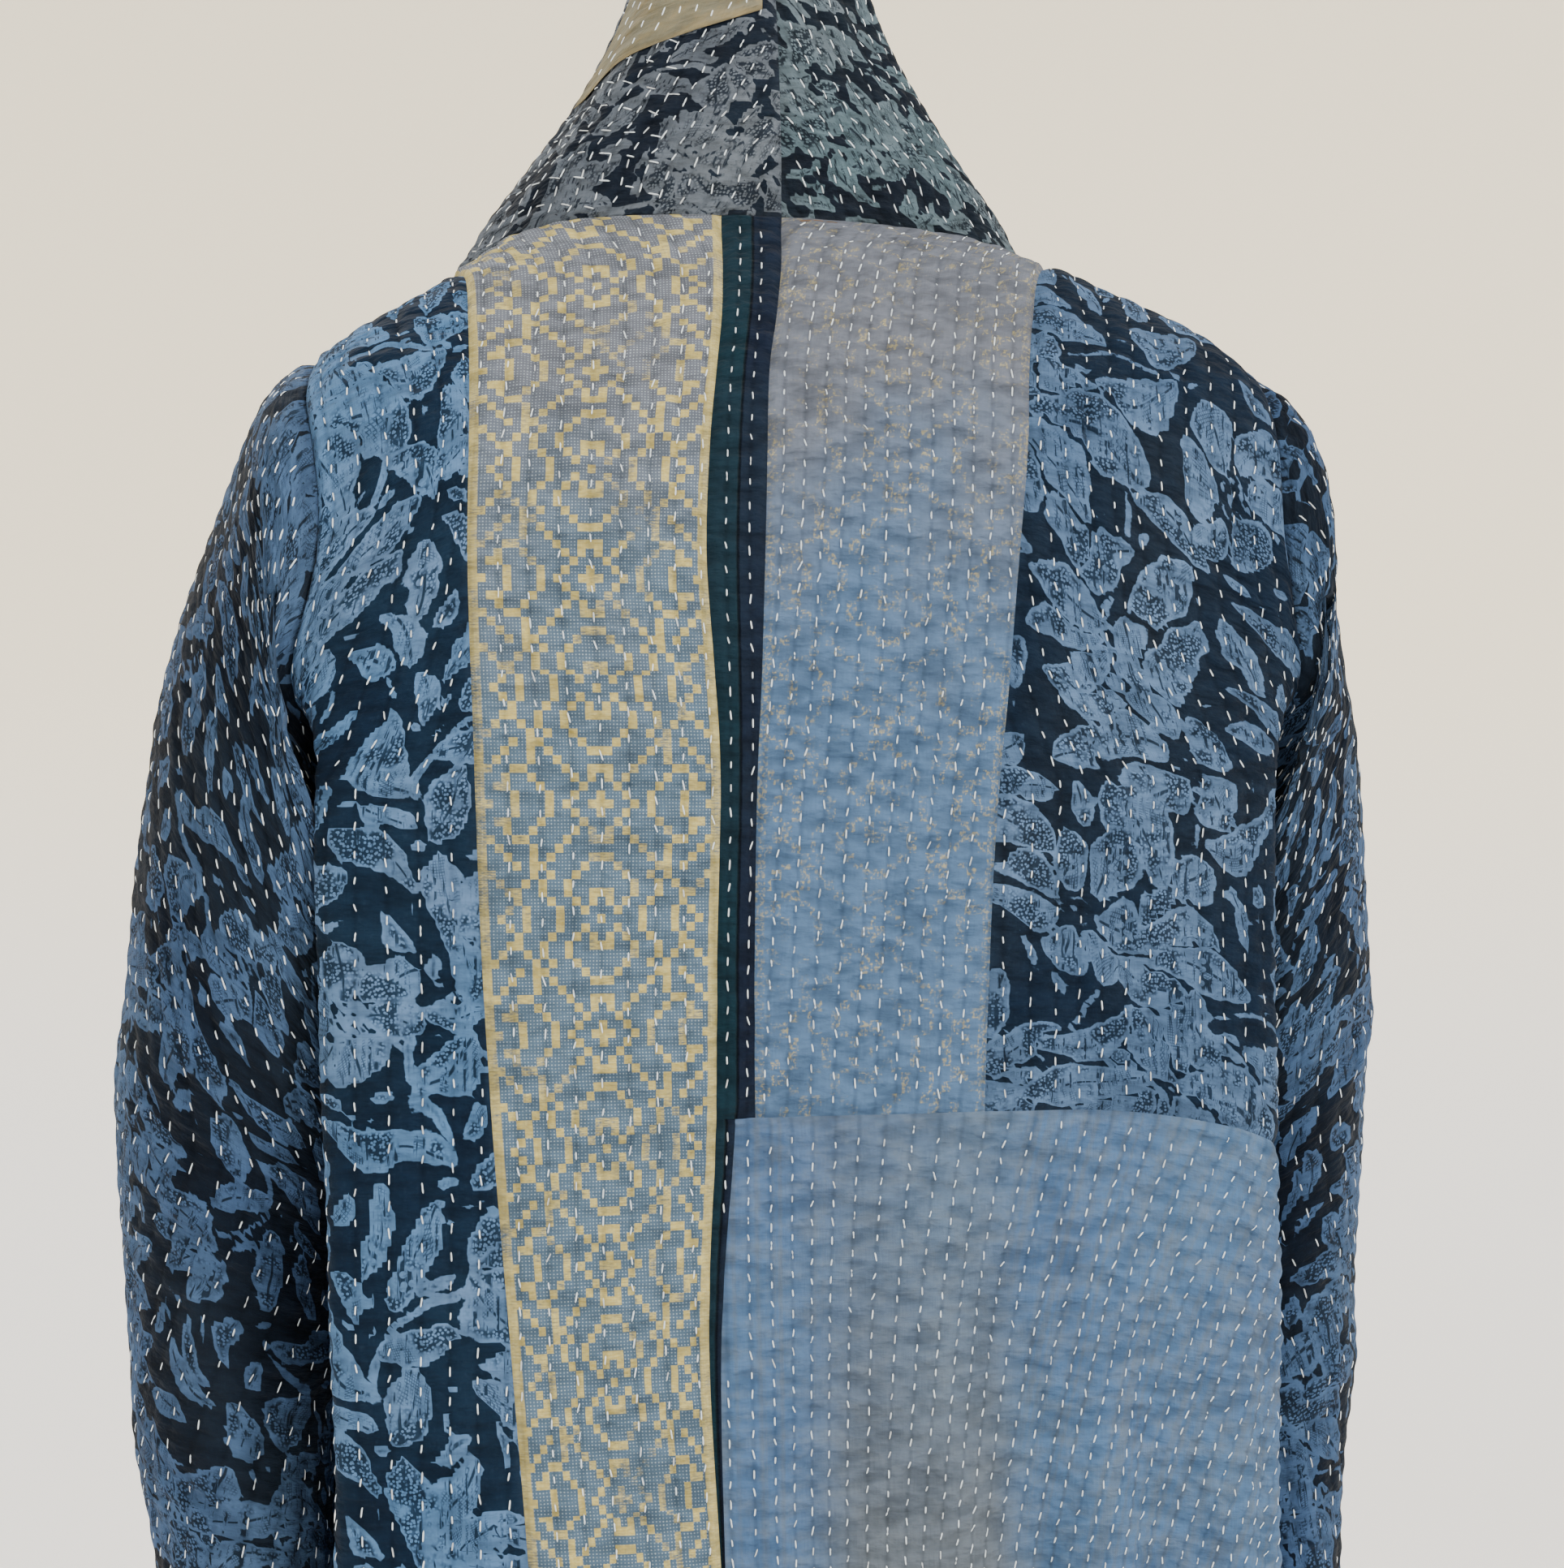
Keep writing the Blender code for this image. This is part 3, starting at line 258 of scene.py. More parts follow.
# Looks: how the quilting swells, where its edges roll and its seams dip
PUFF_POWER = 0.55
PUFF_UNEVEN = 0.25
PUFF_UNEVEN_PITCH = 0.017
PUFF_UNEVEN_TURN = 2.1
PUCKER_DEPTH = 0.00058
EDGE_FADE = 0.006
EDGE_ROLL = 0.0008
EDGE_ROLL_SPREAD = 0.0012
SEAM_LAP = 0.0003
SLEEVE_PLAIN_INSIDE = 0.74
SEAM_DIP = 0.0006
SEAM_DIP_SPREAD = 0.0030
FAN_REACH = 0.150
FAN_DEPTH = 0.26
FAN_OPEN = 0.20
FAN_CLOSING = 2.05
ROW_WAVE = 0.10
ROW_WAVE_PITCH = 0.090
ROW_WAVE_TURN = 0.9

# Stitches: how uneven they are, and the thread's own section
STITCH_JITTER = 0.04
LONGEST_STITCH = 0.0110
STITCH_UNEVEN = 0.22
STITCH_SKEW = 0.0003
STITCH_CLEAR = 0.0028
STITCH_TURN = 0.381966
LEAST_POINTS = 3
THREAD_RADIUS = 0.00036
THREAD_STATIONS = (-1.0, -0.55, 0.55, 1.0)
THREAD_WIDTHS = (0.55, 1.0, 1.0, 0.55)
THREAD_HEIGHTS = (-0.75, 0.35, 0.35, -0.75)
THREAD_SECTION = ((-1.0, -0.15), (0.0, 0.75), (1.0, -0.15))

# A slight unevenness of all the cloth: waves along x, y and z, their phase and their depth
UNEVEN_WAVES = (
    (21.0, 9.0, 13.0, 0.4, 0.00045),
    (-33.0, 15.0, 24.0, 1.9, 0.00035),
    (52.0, -21.0, 37.0, 4.1, 0.00025),
    (14.0, 30.0, -58.0, 2.6, 0.00025),
)

# Creases in the cloth, as seen from behind and from the front: where, which way in degrees from level,
# and how long, wide and deep. A negative depth is a ridge.
CREASE_COLUMNS = ("x", "z", "turn", "length", "width", "depth", "bend")
BACK_CREASES = (
    (0.118, -0.115, 62, 0.060, 0.009, -0.0014, 2.0),
    (0.095, -0.235, 38, 0.055, 0.008, -0.0012, 1.0),
    (0.120, -0.300, 28, 0.060, 0.008, -0.0014, 2.0),
    (0.085, -0.345, 33, 0.070, 0.009, -0.0013, -1.0),
    (0.105, -0.410, 24, 0.060, 0.008, -0.0015, 1.5),
    (0.090, -0.480, 20, 0.060, 0.009, -0.0010, 0.0),
    (0.175, -0.330, 70, 0.080, 0.010, -0.0016, 0.0),
    (0.190, -0.460, 82, 0.110, 0.012, -0.0022, 0.5),
    (0.165, -0.600, 86, 0.150, 0.014, -0.0020, 0.0),
    (-0.020, -0.190, 100, 0.060, 0.010, -0.0010, 0.0),
    (-0.060, -0.110, 75, 0.050, 0.010, -0.0010, 1.0),
    (-0.175, -0.290, 112, 0.070, 0.011, -0.0018, 1.0),
    (-0.190, -0.230, 125, 0.060, 0.009, -0.0015, 1.0),
    (-0.145, -0.360, 104, 0.060, 0.011, -0.0012, 0.0),
    (-0.075, -0.420, 96, 0.050, 0.013, -0.0012, 0.0),
    (-0.135, -0.500, 92, 0.100, 0.014, -0.0024, 0.5),
    (-0.122, -0.600, 88, 0.150, 0.016, -0.0042, 0.0),
    (-0.185, -0.560, 95, 0.110, 0.014, -0.0024, 0.0),
    (-0.040, -0.560, 90, 0.160, 0.020, -0.0040, 0.0),
    (-0.084, -0.560, 88, 0.150, 0.022, 0.0052, 0.5),
    (-0.150, -0.620, 84, 0.140, 0.016, 0.0036, 0.0),
    (0.005, -0.600, 92, 0.140, 0.018, 0.0034, 0.0),
    (0.030, -0.640, 88, 0.120, 0.016, -0.0018, 0.0),
    (0.110, -0.760, 90, 0.130, 0.018, -0.0020, 0.0),
    (-0.150, -0.780, 88, 0.140, 0.018, -0.0024, 0.0),
    (0.020, 0.060, 65, 0.040, 0.006, -0.0014, 2.0),
    (0.045, 0.035, 50, 0.045, 0.006, -0.0016, 2.0),
    (0.065, 0.065, 60, 0.035, 0.006, -0.0012, 0.0),
    (-0.020, 0.050, 98, 0.045, 0.006, -0.0014, 0.0),
    (-0.045, 0.060, 104, 0.045, 0.006, -0.0016, 0.0),
    (-0.062, 0.030, 112, 0.035, 0.006, -0.0012, 0.0),
)
FRONT_CREASES = (
    (0.130, -0.360, 30, 0.060, 0.010, -0.0018, 1.0),
    (0.120, -0.455, -28, 0.060, 0.010, -0.0020, -1.0),
    (0.080, -0.480, -62, 0.080, 0.011, -0.0018, 0.0),
    (0.150, -0.540, -80, 0.110, 0.014, -0.0022, 0.0),
    (0.105, -0.650, 92, 0.140, 0.016, -0.0024, 0.0),
    (0.165, -0.750, 86, 0.130, 0.016, -0.0022, 0.0),
    (0.140, -0.230, 55, 0.070, 0.011, -0.0018, 1.0),
    (0.170, -0.180, 66, 0.060, 0.010, -0.0016, 0.0),
    (-0.125, -0.350, -34, 0.060, 0.010, -0.0018, 1.0),
    (-0.110, -0.450, 24, 0.060, 0.010, -0.0020, 1.0),
    (-0.085, -0.500, 66, 0.080, 0.011, -0.0018, 0.0),
    (-0.145, -0.560, 84, 0.110, 0.014, -0.0022, 0.0),
    (-0.100, -0.680, 90, 0.140, 0.016, -0.0024, 0.0),
    (-0.165, -0.800, 94, 0.130, 0.016, -0.0022, 0.0),
    (-0.145, -0.225, -58, 0.070, 0.011, -0.0018, 1.0),
    (-0.175, -0.180, -68, 0.060, 0.010, -0.0016, 0.0),
)
CREASE_EDGE_Y = 0.040
CREASE_EDGE_SPREAD = 0.030
CREASE_BESIDE = 2.0

# Creases of a sleeve: where round it and down it (0 to 1), which way, and how long, wide and deep
SLEEVE_CREASE_COLUMNS = ("round", "down", "turn", "length", "width", "depth", "bend")
SLEEVE_CREASES = {
    "sleeve_left": (
        (1.75, 0.30, 58, 0.080, 0.010, 0.0026, 1.5),
        (1.30, 0.42, 40, 0.060, 0.009, -0.0020, 1.0),
        (2.30, 0.36, -38, 0.060, 0.010, -0.0022, 1.0),
        (1.10, 0.20, 64, 0.060, 0.009, -0.0018, 0.0),
        (2.10, 0.62, 14, 0.055, 0.009, -0.0024, 2.0),
        (1.20, 0.68, -10, 0.060, 0.009, -0.0026, 2.0),
        (1.80, 0.76, 4, 0.060, 0.009, -0.0028, 1.0),
        (1.50, 0.84, -12, 0.060, 0.009, -0.0022, 1.0),
        (2.20, 0.90, 8, 0.050, 0.008, -0.0020, 0.0),
        (4.40, 0.40, 30, 0.070, 0.010, -0.0026, 1.0),
        (4.80, 0.55, -20, 0.070, 0.010, -0.0028, 1.0),
        (4.30, 0.70, 12, 0.070, 0.010, -0.0026, 1.0),
        (5.40, 0.50, 38, 0.060, 0.010, -0.0020, 0.0),
        (3.40, 0.48, 20, 0.060, 0.010, -0.0024, 0.0),
    ),
    "sleeve_right": (
        (1.70, 0.26, 52, 0.080, 0.010, -0.0022, 1.5),
        (1.20, 0.36, 46, 0.070, 0.010, -0.0022, 1.0),
        (2.20, 0.40, -34, 0.060, 0.010, -0.0022, 1.0),
        (1.55, 0.52, 26, 0.060, 0.010, -0.0024, 1.0),
        (1.10, 0.62, -16, 0.060, 0.009, -0.0024, 2.0),
        (2.00, 0.72, 10, 0.060, 0.009, -0.0026, 1.0),
        (1.45, 0.82, -8, 0.060, 0.009, -0.0024, 1.0),
        (4.50, 0.42, 28, 0.070, 0.010, -0.0026, 1.0),
        (4.70, 0.58, -22, 0.070, 0.010, -0.0028, 1.0),
        (4.20, 0.74, 14, 0.070, 0.010, -0.0026, 1.0),
        (5.30, 0.48, 34, 0.060, 0.010, -0.0020, 0.0),
        (3.30, 0.50, -18, 0.060, 0.010, -0.0024, 0.0),
    ),
}

# The collar's second rows, which cross the first ones, and the brown tack at the neck
CROSSING_APART = 0.0130
CROSSING_LEAN = 0.34
CROSSING_WAVE = 0.5
CROSSING_TURN = 0.12
CROSSING_FROM = 0.34
CROSSING_PITCH = 0.0122
CROSSING_LENGTH = 0.0056
TACK_STEPS = 30
TACK_START = 0.82
TACK_END = 1.0
TACK_ROW = 0.972
TACK_SLOPE = 0.02
TACK_PITCH = 0.0064
TACK_LENGTH = 0.0060

# Rows of stitches on each piece: how far apart, how they lean low and high on it, where that changes and
# over what length, how they spread downward, how far they are shifted, then each stitch's pitch and length,
# and how strongly the cloth puckers round it
ROW_COLUMNS = (
    "apart", "lean_low", "lean_high", "change", "over", "fan", "shift", "pitch", "length", "pucker",
)
ROWS_OF_STITCHES = {
    "back_left_floral": (0.0130, 0.02, -0.03, 0.62, 0.30, 0.00, 0.40, 0.0124, 0.0048, 1.0),
    "back_jacquard_strip": (0.0130, 0.01, 0.00, 0.60, 0.30, 0.00, 0.50, 0.0122, 0.0048, 1.2),
    "back_navy_strip": (0.0100, 0.00, 0.00, 0.30, 0.30, 0.00, 0.50, 0.0110, 0.0046, 1.0),
    "back_navy_tail": (0.0100, 0.00, 0.00, 0.30, 0.30, 0.00, 0.00, 0.0110, 0.0046, 1.0),
    "back_right_worn": (0.0100, 0.03, -0.02, 0.20, 0.20, 0.00, 0.10, 0.0106, 0.0047, 2.3),
    "back_right_floral": (0.0120, 0.02, 0.03, 0.20, 0.20, 0.00, 0.20, 0.0116, 0.0047, 1.1),
    "back_right_lower": (0.0095, 0.00, 0.02, 0.40, 0.20, 1.00, 0.00, 0.0088, 0.0042, 1.5),
    "front_left": (0.0125, 0.04, -0.05, 0.55, 0.30, 0.00, 0.30, 0.0126, 0.0048, 1.0),
    "front_right": (0.0125, -0.04, 0.06, 0.55, 0.30, 0.00, 0.60, 0.0126, 0.0048, 1.0),
    "band_left": (0.0125, 0.00, 0.00, 0.50, 0.30, 0.00, 0.50, 0.0115, 0.0047, 0.8),
    "band_right": (0.0125, 0.00, 0.00, 0.50, 0.30, 0.00, 0.50, 0.0115, 0.0047, 0.8),
    "collar_left": (0.0107, 0.10, 0.16, 0.06, 0.05, 0.00, 0.30, 0.0096, 0.0052, 0.9),
    "collar_right": (0.0088, -0.10, -0.04, 0.06, 0.05, 0.00, 0.20, 0.0094, 0.0050, 0.9),
    "sleeve_left": (0.0130, 0.34, -0.42, 0.30, 0.10, 0.00, 0.10, 0.0152, 0.0054, 1.1),
    "sleeve_right": (0.0130, -0.30, 0.38, 0.34, 0.12, 0.00, 0.70, 0.0152, 0.0054, 1.1),
}
ROWS_OF_STITCHES = {node: dict(zip(ROW_COLUMNS, row)) for node, row in ROWS_OF_STITCHES.items()}

# What starts the random draws of each piece's stitches
SEEDS = {
    "back_left_floral": 11, "back_jacquard_strip": 12, "back_navy_strip": 13, "back_navy_tail": 14,
    "back_right_worn": 15, "back_right_floral": 16, "back_right_lower": 17,
    "front_left": 21, "front_right": 22, "band_left": 23, "band_right": 24,
    "collar_left": 31, "collar_right": 32, "collar_patch": 33, "sleeve_left": 34, "sleeve_right": 35,
    "belt_left": 41, "belt_right": 42, "belt_tail_left": 43, "belt_tail_right": 44,
}
TACK_SEED = 42

# The print, of this script's own design: a repeating tile of leafy sprays with petalled ends
TILE_WIDTH = 0.240
TILE_HEIGHT = 0.300
TILE_STEP = 0.001
STEM_HALF = 0.0028
STEM_STEPS = 8
LEAF_GAP = 0.0012
LEAF_LEAN = 44.0
LEAF_TAPER = 0.22
LEAF_REACH = 0.52
LEAF_BEND = 0.12
LEAF_SHAPE = (0.85, 0.72)
PETAL_SPREAD = 34.0
PETAL_SIZE = 0.95
PETAL_BREADTH = 0.50
PETAL_SHAPE = (1.25, 0.60)
LEAF_COLUMNS = ("x", "y", "turn", "length", "width", "bend", "heavy", "full")
SPRAY_COLUMNS = ("x", "y", "turn", "reach", "curl", "leaves", "size", "breadth", "petals")
SPRAYS = (
    (0.020, 0.030, 62, 0.110, 70, 4, 0.062, 0.46, 4),
    (0.150, 0.010, 118, 0.120, -80, 4, 0.060, 0.48, 5),
    (0.215, 0.120, 80, 0.095, 90, 3, 0.060, 0.46, 4),
    (0.085, 0.150, 20, 0.090, -95, 3, 0.064, 0.44, 5),
    (0.045, 0.215, 95, 0.080, 80, 3, 0.058, 0.48, 4),
    (0.160, 0.215, 135, 0.085, -75, 3, 0.060, 0.48, 5),
    (0.120, 0.095, 265, 0.060, 85, 2, 0.052, 0.48, 3),
)
ROSE_COLUMNS = ("x", "y", "petals", "radius", "breadth", "heart", "turn")
ROSES = (
    (0.065, 0.105, 6, 0.034, 0.80, 0.010, 10),
    (0.200, 0.215, 7, 0.032, 0.70, 0.009, 40),
    (0.140, 0.275, 5, 0.028, 0.95, 0.008, 25),
)
ROSE_SHAPE = (1.5, 0.55)
ROSE_HOLES = 5
ROSE_HOLE = 0.0016
FILL_TRIES = 2600
FILL_SEED = 5
FILL_LENGTHS = (0.046, 0.036, 0.028, 0.020, 0.013, 0.008)
FILL_SHARES = (0.8, 1.0)
FILL_BREADTHS = (0.42, 0.75)
FILL_BENDS = (-0.12, 0.12)
FILL_HEAVIES = (0.8, 1.3)
FILL_FULL = 0.65
FILL_CLEAR = 0.0004
FILL_PROBES = 9

# Slow bends of the whole print and the scallops of its larger leaves: waves across and up a tile, size, start
PRINT_WAVES = (
    (1, 2, 0.0050, 0.3),
    (3, -1, 0.0036, 1.9),
    (-2, 4, 0.0026, 4.1),
    (5, 3, 0.0016, 2.7),
    (-9, 7, 0.0009, 0.8),
)
SCALLOP_DEPTH = 0.0016
SCALLOP_LENGTH = 0.0105
SCALLOPED_FROM = 0.030

# Where each piece was cut from the print: shift across and up, turn in degrees, and scale
PRINT_PLACES = {
    "back_left_floral": (0.050, 0.020, 4.0, 0.86),
    "back_right_floral": (0.130, 0.110, -6.0, 1.05),
    "front_left": (0.010, 0.170, 2.0, 0.80),
    "front_right": (0.190, 0.070, -3.0, 0.80),
    "sleeve_left": (0.090, 0.240, 168.0, 0.82),
    "sleeve_right": (0.030, 0.060, 12.0, 0.82),
    "collar_left": (0.210, 0.150, 35.0, 0.66),
    "collar_right": (0.070, 0.010, 85.0, 0.62),
    "band_left": (0.110, 0.190, 8.0, 0.55),
    "band_right": (0.170, 0.040, -5.0, 0.52),
}

# The woven border, charted: a quarter of its repeat, from the middle line out, mirrored both ways
BORDER_CHART = (
    "##..#.#...#..#",
    "#..#..#...#...",
    "..#....#...##.",
    ".#.#....#..#..",
    "##..#....##..#",
    ".....#..#...#.",
    "##....#.#..#..",
    "..#....##.#...",
    "...#..#.#....#",
    "....#..#.#..#.",
    "##..#..#..##..",
    ".#.#..#...#...",
    "..#..#...#.#..",
    "#....#...#..#.",
)
BORDER_COLUMNS = 29
BORDER_CELL = 0.00386
BORDER_START = 20.0
BORDER_PLAIN = 2

# Noises of the cloth's looks: how often they turn in a metre across and up, and from row to row of stitches,
# then their detail and roughness
NOISES = {
    "thread_drift": ((60.0, 60.0, 0.0), 2.0, 0.50),
    "warp_slubs": ((2600.0, 90.0, 0.0), 1.0, 0.50),
    "weft_slubs": ((90.0, 2600.0, 0.0), 1.0, 0.50),
    "wrinkles": ((38.0, 118.0, 0.35), 2.0, 0.50),
    "fine_wrinkles": ((110.0, 260.0, 0.6), 3.0, 0.60),
    "fading": ((9.0, 6.0, 0.0), 3.0, 0.55),
    "rubbing": ((420.0, 420.0, 0.0), 3.0, 0.65),
    "ragged_edge": ((240.0, 240.0, 0.0), 4.0, 0.65),
    "region": ((34.0, 34.0, 0.0), 3.0, 0.60),
    "other_region": ((26.0, 26.0, 5.0), 3.0, 0.60),
    "worn_patches": ((30.0, 22.0, 0.0), 4.0, 0.60),
    "gold_threads": ((300.0, 1500.0, 0.0), 2.0, 0.60),
    "flecks": ((620.0, 480.0, 0.0), 3.0, 0.70),
    "mottle": ((70.0, 110.0, 0.0), 4.0, 0.60),
    "brown_bands": ((9.0, 1.6, 3.0), 3.0, 0.50),
    "brown_drift": ((5.0, 2.5, 0.0), 3.0, 0.50),
    "plies": ((2200.0, 2200.0, 2200.0), 1.0, 0.50),
}

# How strongly the weave and the troughs between wrinkles shade the cloth, and the other heights and strengths
WEAVE_TURNS = 2 * math.pi / 0.00075
WEAVE_DRIFT = 0.0012
CROSSING_HEIGHT = 0.35
WEAVE_LEVEL = 0.5
WEAVE_HEIGHT = 0.00010
WEAVE_SHADE = 0.16
FINE_WRINKLES = 0.35
PUCKER_HEIGHT = 0.0050
TROUGH_SHADE = 0.22
ROW_SHADE = 0.22
RAGGED_DEPTH = 0.0026
STIPPLE_SCALE = 620.0
BLOT_SCALE = 250.0
SPOT_SCATTER = 0.9
HATCH_TURNS = 2 * math.pi / 0.0013
HATCH_STRENGTH = 0.70
MARK_STRENGTH = 0.92
PRINT_RUBBING = 0.07
PLAIN_RUBBING = 0.22
STRIP_LENGTH = 1.00
WORN_LENGTH = 0.47
LINE_STRENGTH = 0.9
THREAD_WEAR = 0.45
WORN_OVER = 0.22
TOP_UNEVEN = 0.08
GOLD_HEIGHT = 0.00012
SPECK_TURNS = 2 * math.pi / 0.0030
BROWN_UNEVEN = 0.05
STRIP_FADING = 0.5
JOIN_SHADE = 0.7
JOIN_DEPTH = 0.0006
PLY_STRENGTH = 0.5
PLY_HEIGHT = 0.0002

# Smooth steps of the cloth's looks: from one value to another, and what they give there
RANGES = {
    "sunk_row": (0.0, 0.55, 1.0, 0.0),
    "faded": (0.32, 0.68, 0.0, 1.0),
    "rubbed": (0.52, 0.75, 0.0, 0.6),
    "rubbed_edge": (0.0, 0.004, 0.55, 0.0),
    "weave_light": (0.2, 0.8, 1 - WEAVE_SHADE, 1 + WEAVE_SHADE),
    "trough_light": (0.45, 0.85, 1 - TROUGH_SHADE, 1 + TROUGH_SHADE),
    "printed": (-0.0001, 0.0003, 0.0, 1.0),
    "deep_inside": (0.0010, 0.0030, 0.0, 1.0),
    "stipple": (0.42, 0.30, 1.0, 0.0),
    "stippled": (0.48, 0.56, 0.0, 1.0),
    "blots": (0.40, 0.33, 1.0, 0.0),
    "blotted": (0.55, 0.60, 0.0, 1.0),
    "hatch": (0.30, 0.80, 0.0, 1.0),
    "hatched": (0.48, 0.43, 0.0, 1.0),
    "hatched_too": (0.44, 0.50, 0.0, 1.0),
    "vein": (0.0004, 0.0009, 1.0, 0.0),
    "veined": (0.52, 0.46, 0.0, 1.0),
    "flecks": (0.47, 0.60, 0.0, 1.0),
    "left_line": (0.0046, 0.0051, 1.0, 0.0),
    "right_line": (0.0038, 0.0043, 1.0, 0.0),
    "top_ground": (0.12, 0.34, 0.90, 0.10),
    "second_gold": (0.35, 0.65, 0.0, 1.0),
    "specks": (0.35, 0.80, 0.0, 1.0),
    "speck_strength": (0.35, 0.60, 0.14, 0.58),
    "mottle": (0.40, 0.70, 0.0, 0.35),
    "brown_from": (0.068, 0.100, 0.0, 1.0),
    "brown_to": (0.152, 0.195, 1.0, 0.0),
    "brown_below": (0.26, 0.54, 0.95, 0.35),
    "brown_bands": (0.46, 0.64, 0.0, 0.34),
    "join": (-0.0006, 0.0006, 0.0, 1.0),
    "join_seam": (0.0002, 0.0022, 1.0, 0.0),
    "darker_threads": (0.55, 1.0, 0.0, 1.0),
    "between_plies": (0.35, 0.65, 0.25, 0.0),
}
CLOTH_SHADER = {"Roughness": 0.9, "Sheen Weight": 0.03, "Sheen Roughness": 0.5, "Specular IOR Level": 0.06}
THREAD_SHADER = {"Roughness": 0.7, "Sheen Weight": 0.2}

# Colours, as linear red, green and blue
BLACK = (0.0, 0.0, 0.0, 1.0)
NAVY = (0.0030, 0.0095, 0.0235, 1.0)
NAVY_SOFT = (0.0050, 0.0150, 0.0320, 1.0)
NAVY_GREY = (0.0075, 0.0130, 0.0230, 1.0)
PRINT_BLUE = (0.056, 0.130, 0.262, 1.0)
PRINT_GREY = (0.049, 0.091, 0.174, 1.0)
PRINT_PALE = (0.082, 0.142, 0.256, 1.0)
# The sleeves' ground and print: the floral's colours darkened, painted shade of the hanging sleeves
SLEEVE_SHADED_GROUND = (0.0020, 0.0045, 0.0105, 1.0)
SLEEVE_SHADED_PRINT = (0.031, 0.062, 0.134, 1.0)
COLLAR_DARK = (0.0052, 0.0085, 0.0160, 1.0)
COLLAR_PURPLE = (0.067, 0.082, 0.108, 1.0)
COLLAR_PALE = (0.093, 0.110, 0.134, 1.0)
COLLAR_TEAL = (0.062, 0.100, 0.124, 1.0)
COLLAR_TEAL_DARK = (0.0055, 0.0105, 0.0165, 1.0)
BORDER_BLUE = (0.056, 0.100, 0.155, 1.0)
BORDER_PURPLE = (0.100, 0.108, 0.135, 1.0)
GOLD = (0.350, 0.286, 0.092, 1.0)
GOLD_PALE = (0.425, 0.368, 0.148, 1.0)
GOLD_DULL = (0.260, 0.225, 0.110, 1.0)
WORN_BLUE = (0.056, 0.113, 0.218, 1.0)
WORN_PURPLE = (0.105, 0.113, 0.138, 1.0)
WORN_DEEP = (0.048, 0.097, 0.204, 1.0)
WORN_BROWN = (0.093, 0.106, 0.119, 1.0)
WORN_PALE = (0.120, 0.149, 0.190, 1.0)
STRIP_NAVY = (0.0045, 0.0080, 0.0200, 1.0)
STRIP_FADED = (0.0100, 0.0200, 0.0340, 1.0)
STRIP_NAVY_SOFT = (0.0040, 0.0170, 0.0270, 1.0)
OLIVE = (0.168, 0.162, 0.118, 1.0)
OLIVE_PALE = (0.205, 0.198, 0.150, 1.0)
OLIVE_GOLD = (0.310, 0.228, 0.092, 1.0)
REVERSE_BLUE = (0.040, 0.055, 0.078, 1.0)
REVERSE_PALE = (0.065, 0.082, 0.105, 1.0)
THREAD_WHITE = (0.730, 0.825, 0.920, 1.0)
THREAD_GREY = (0.480, 0.520, 0.570, 1.0)
THREAD_BROWN = (0.130, 0.070, 0.035, 1.0)
THREAD_DARK = (0.060, 0.035, 0.020, 1.0)
SPECK_COLOUR = (0.420, 0.500, 0.560, 1.0)

# Columns and rows of the fine meshes
LEFT_COLUMNS = 84
WORN_COLUMNS = 50
RIGHT_COLUMNS = 76
LOWER_COLUMNS = 130
NAVY_COLUMNS = 10
FRONT_COLUMNS = 60
BAND_COLUMNS_ACROSS = 36
COLLAR_ROWS = 72
LEFT_COLLAR_COLUMNS = 80
RIGHT_COLLAR_COLUMNS = 78
FOOT_NAVY_COLUMNS = 2
FOOT_STRIP_COLUMNS = 10
SLEEVE_AROUND = 150
SLEEVE_DOWN = 210
SLEEVE_RADIUS = 0.066
SLEEVE_CALM = 0.10
ARMHOLE_BLEND = 1.2
BAND_CALM = 0.35
WORN_CELLS = 27
PATCH_ACROSS = 60
PATCH_STITCH_ROWS = 9
PATCH_PITCH = 0.0096
PATCH_STITCH = 0.0050
BELT_HEM = 0.0040
BELT_PITCH = 0.0075
BELT_STITCH = 0.0038
HEM_STRETCH = np.s_[2:-2]
OPEN_HEM = "left right top"
COLLAR_SEAMS = "left right bottom"
ALL_SEWN = "left right top bottom"

# The belt's creases, gathered at the knot, and the folds of its tails
GATHER_REACH = 0.070
GATHER_TURNS = 520.0
GATHER_LEAN = 24.0
GATHER_DEPTH = 0.0007
GATHER_LEAST = 0.25
TAIL_FOLD_DEPTH = 0.0016
TAIL_FOLD_TURNS = 7.0
TAIL_FOLD_LEAN = 3.0
KNOT_SLANT = 0.0085
KNOT_WRAP_HALF = 0.0125
KNOT_WRAP_EDGE = 0.0022
KNOT_TUCK = 0.10
KNOT_PLEATS = 9.0
KNOT_PLEAT_LEAN = 2.0
KNOT_PLEAT_DEPTH = 0.035
KNOT_WRAP_PLEATS = 0.5
KNOT_WRAP_TURNS = 7.0
KNOT_WRAP_REACH = 0.5

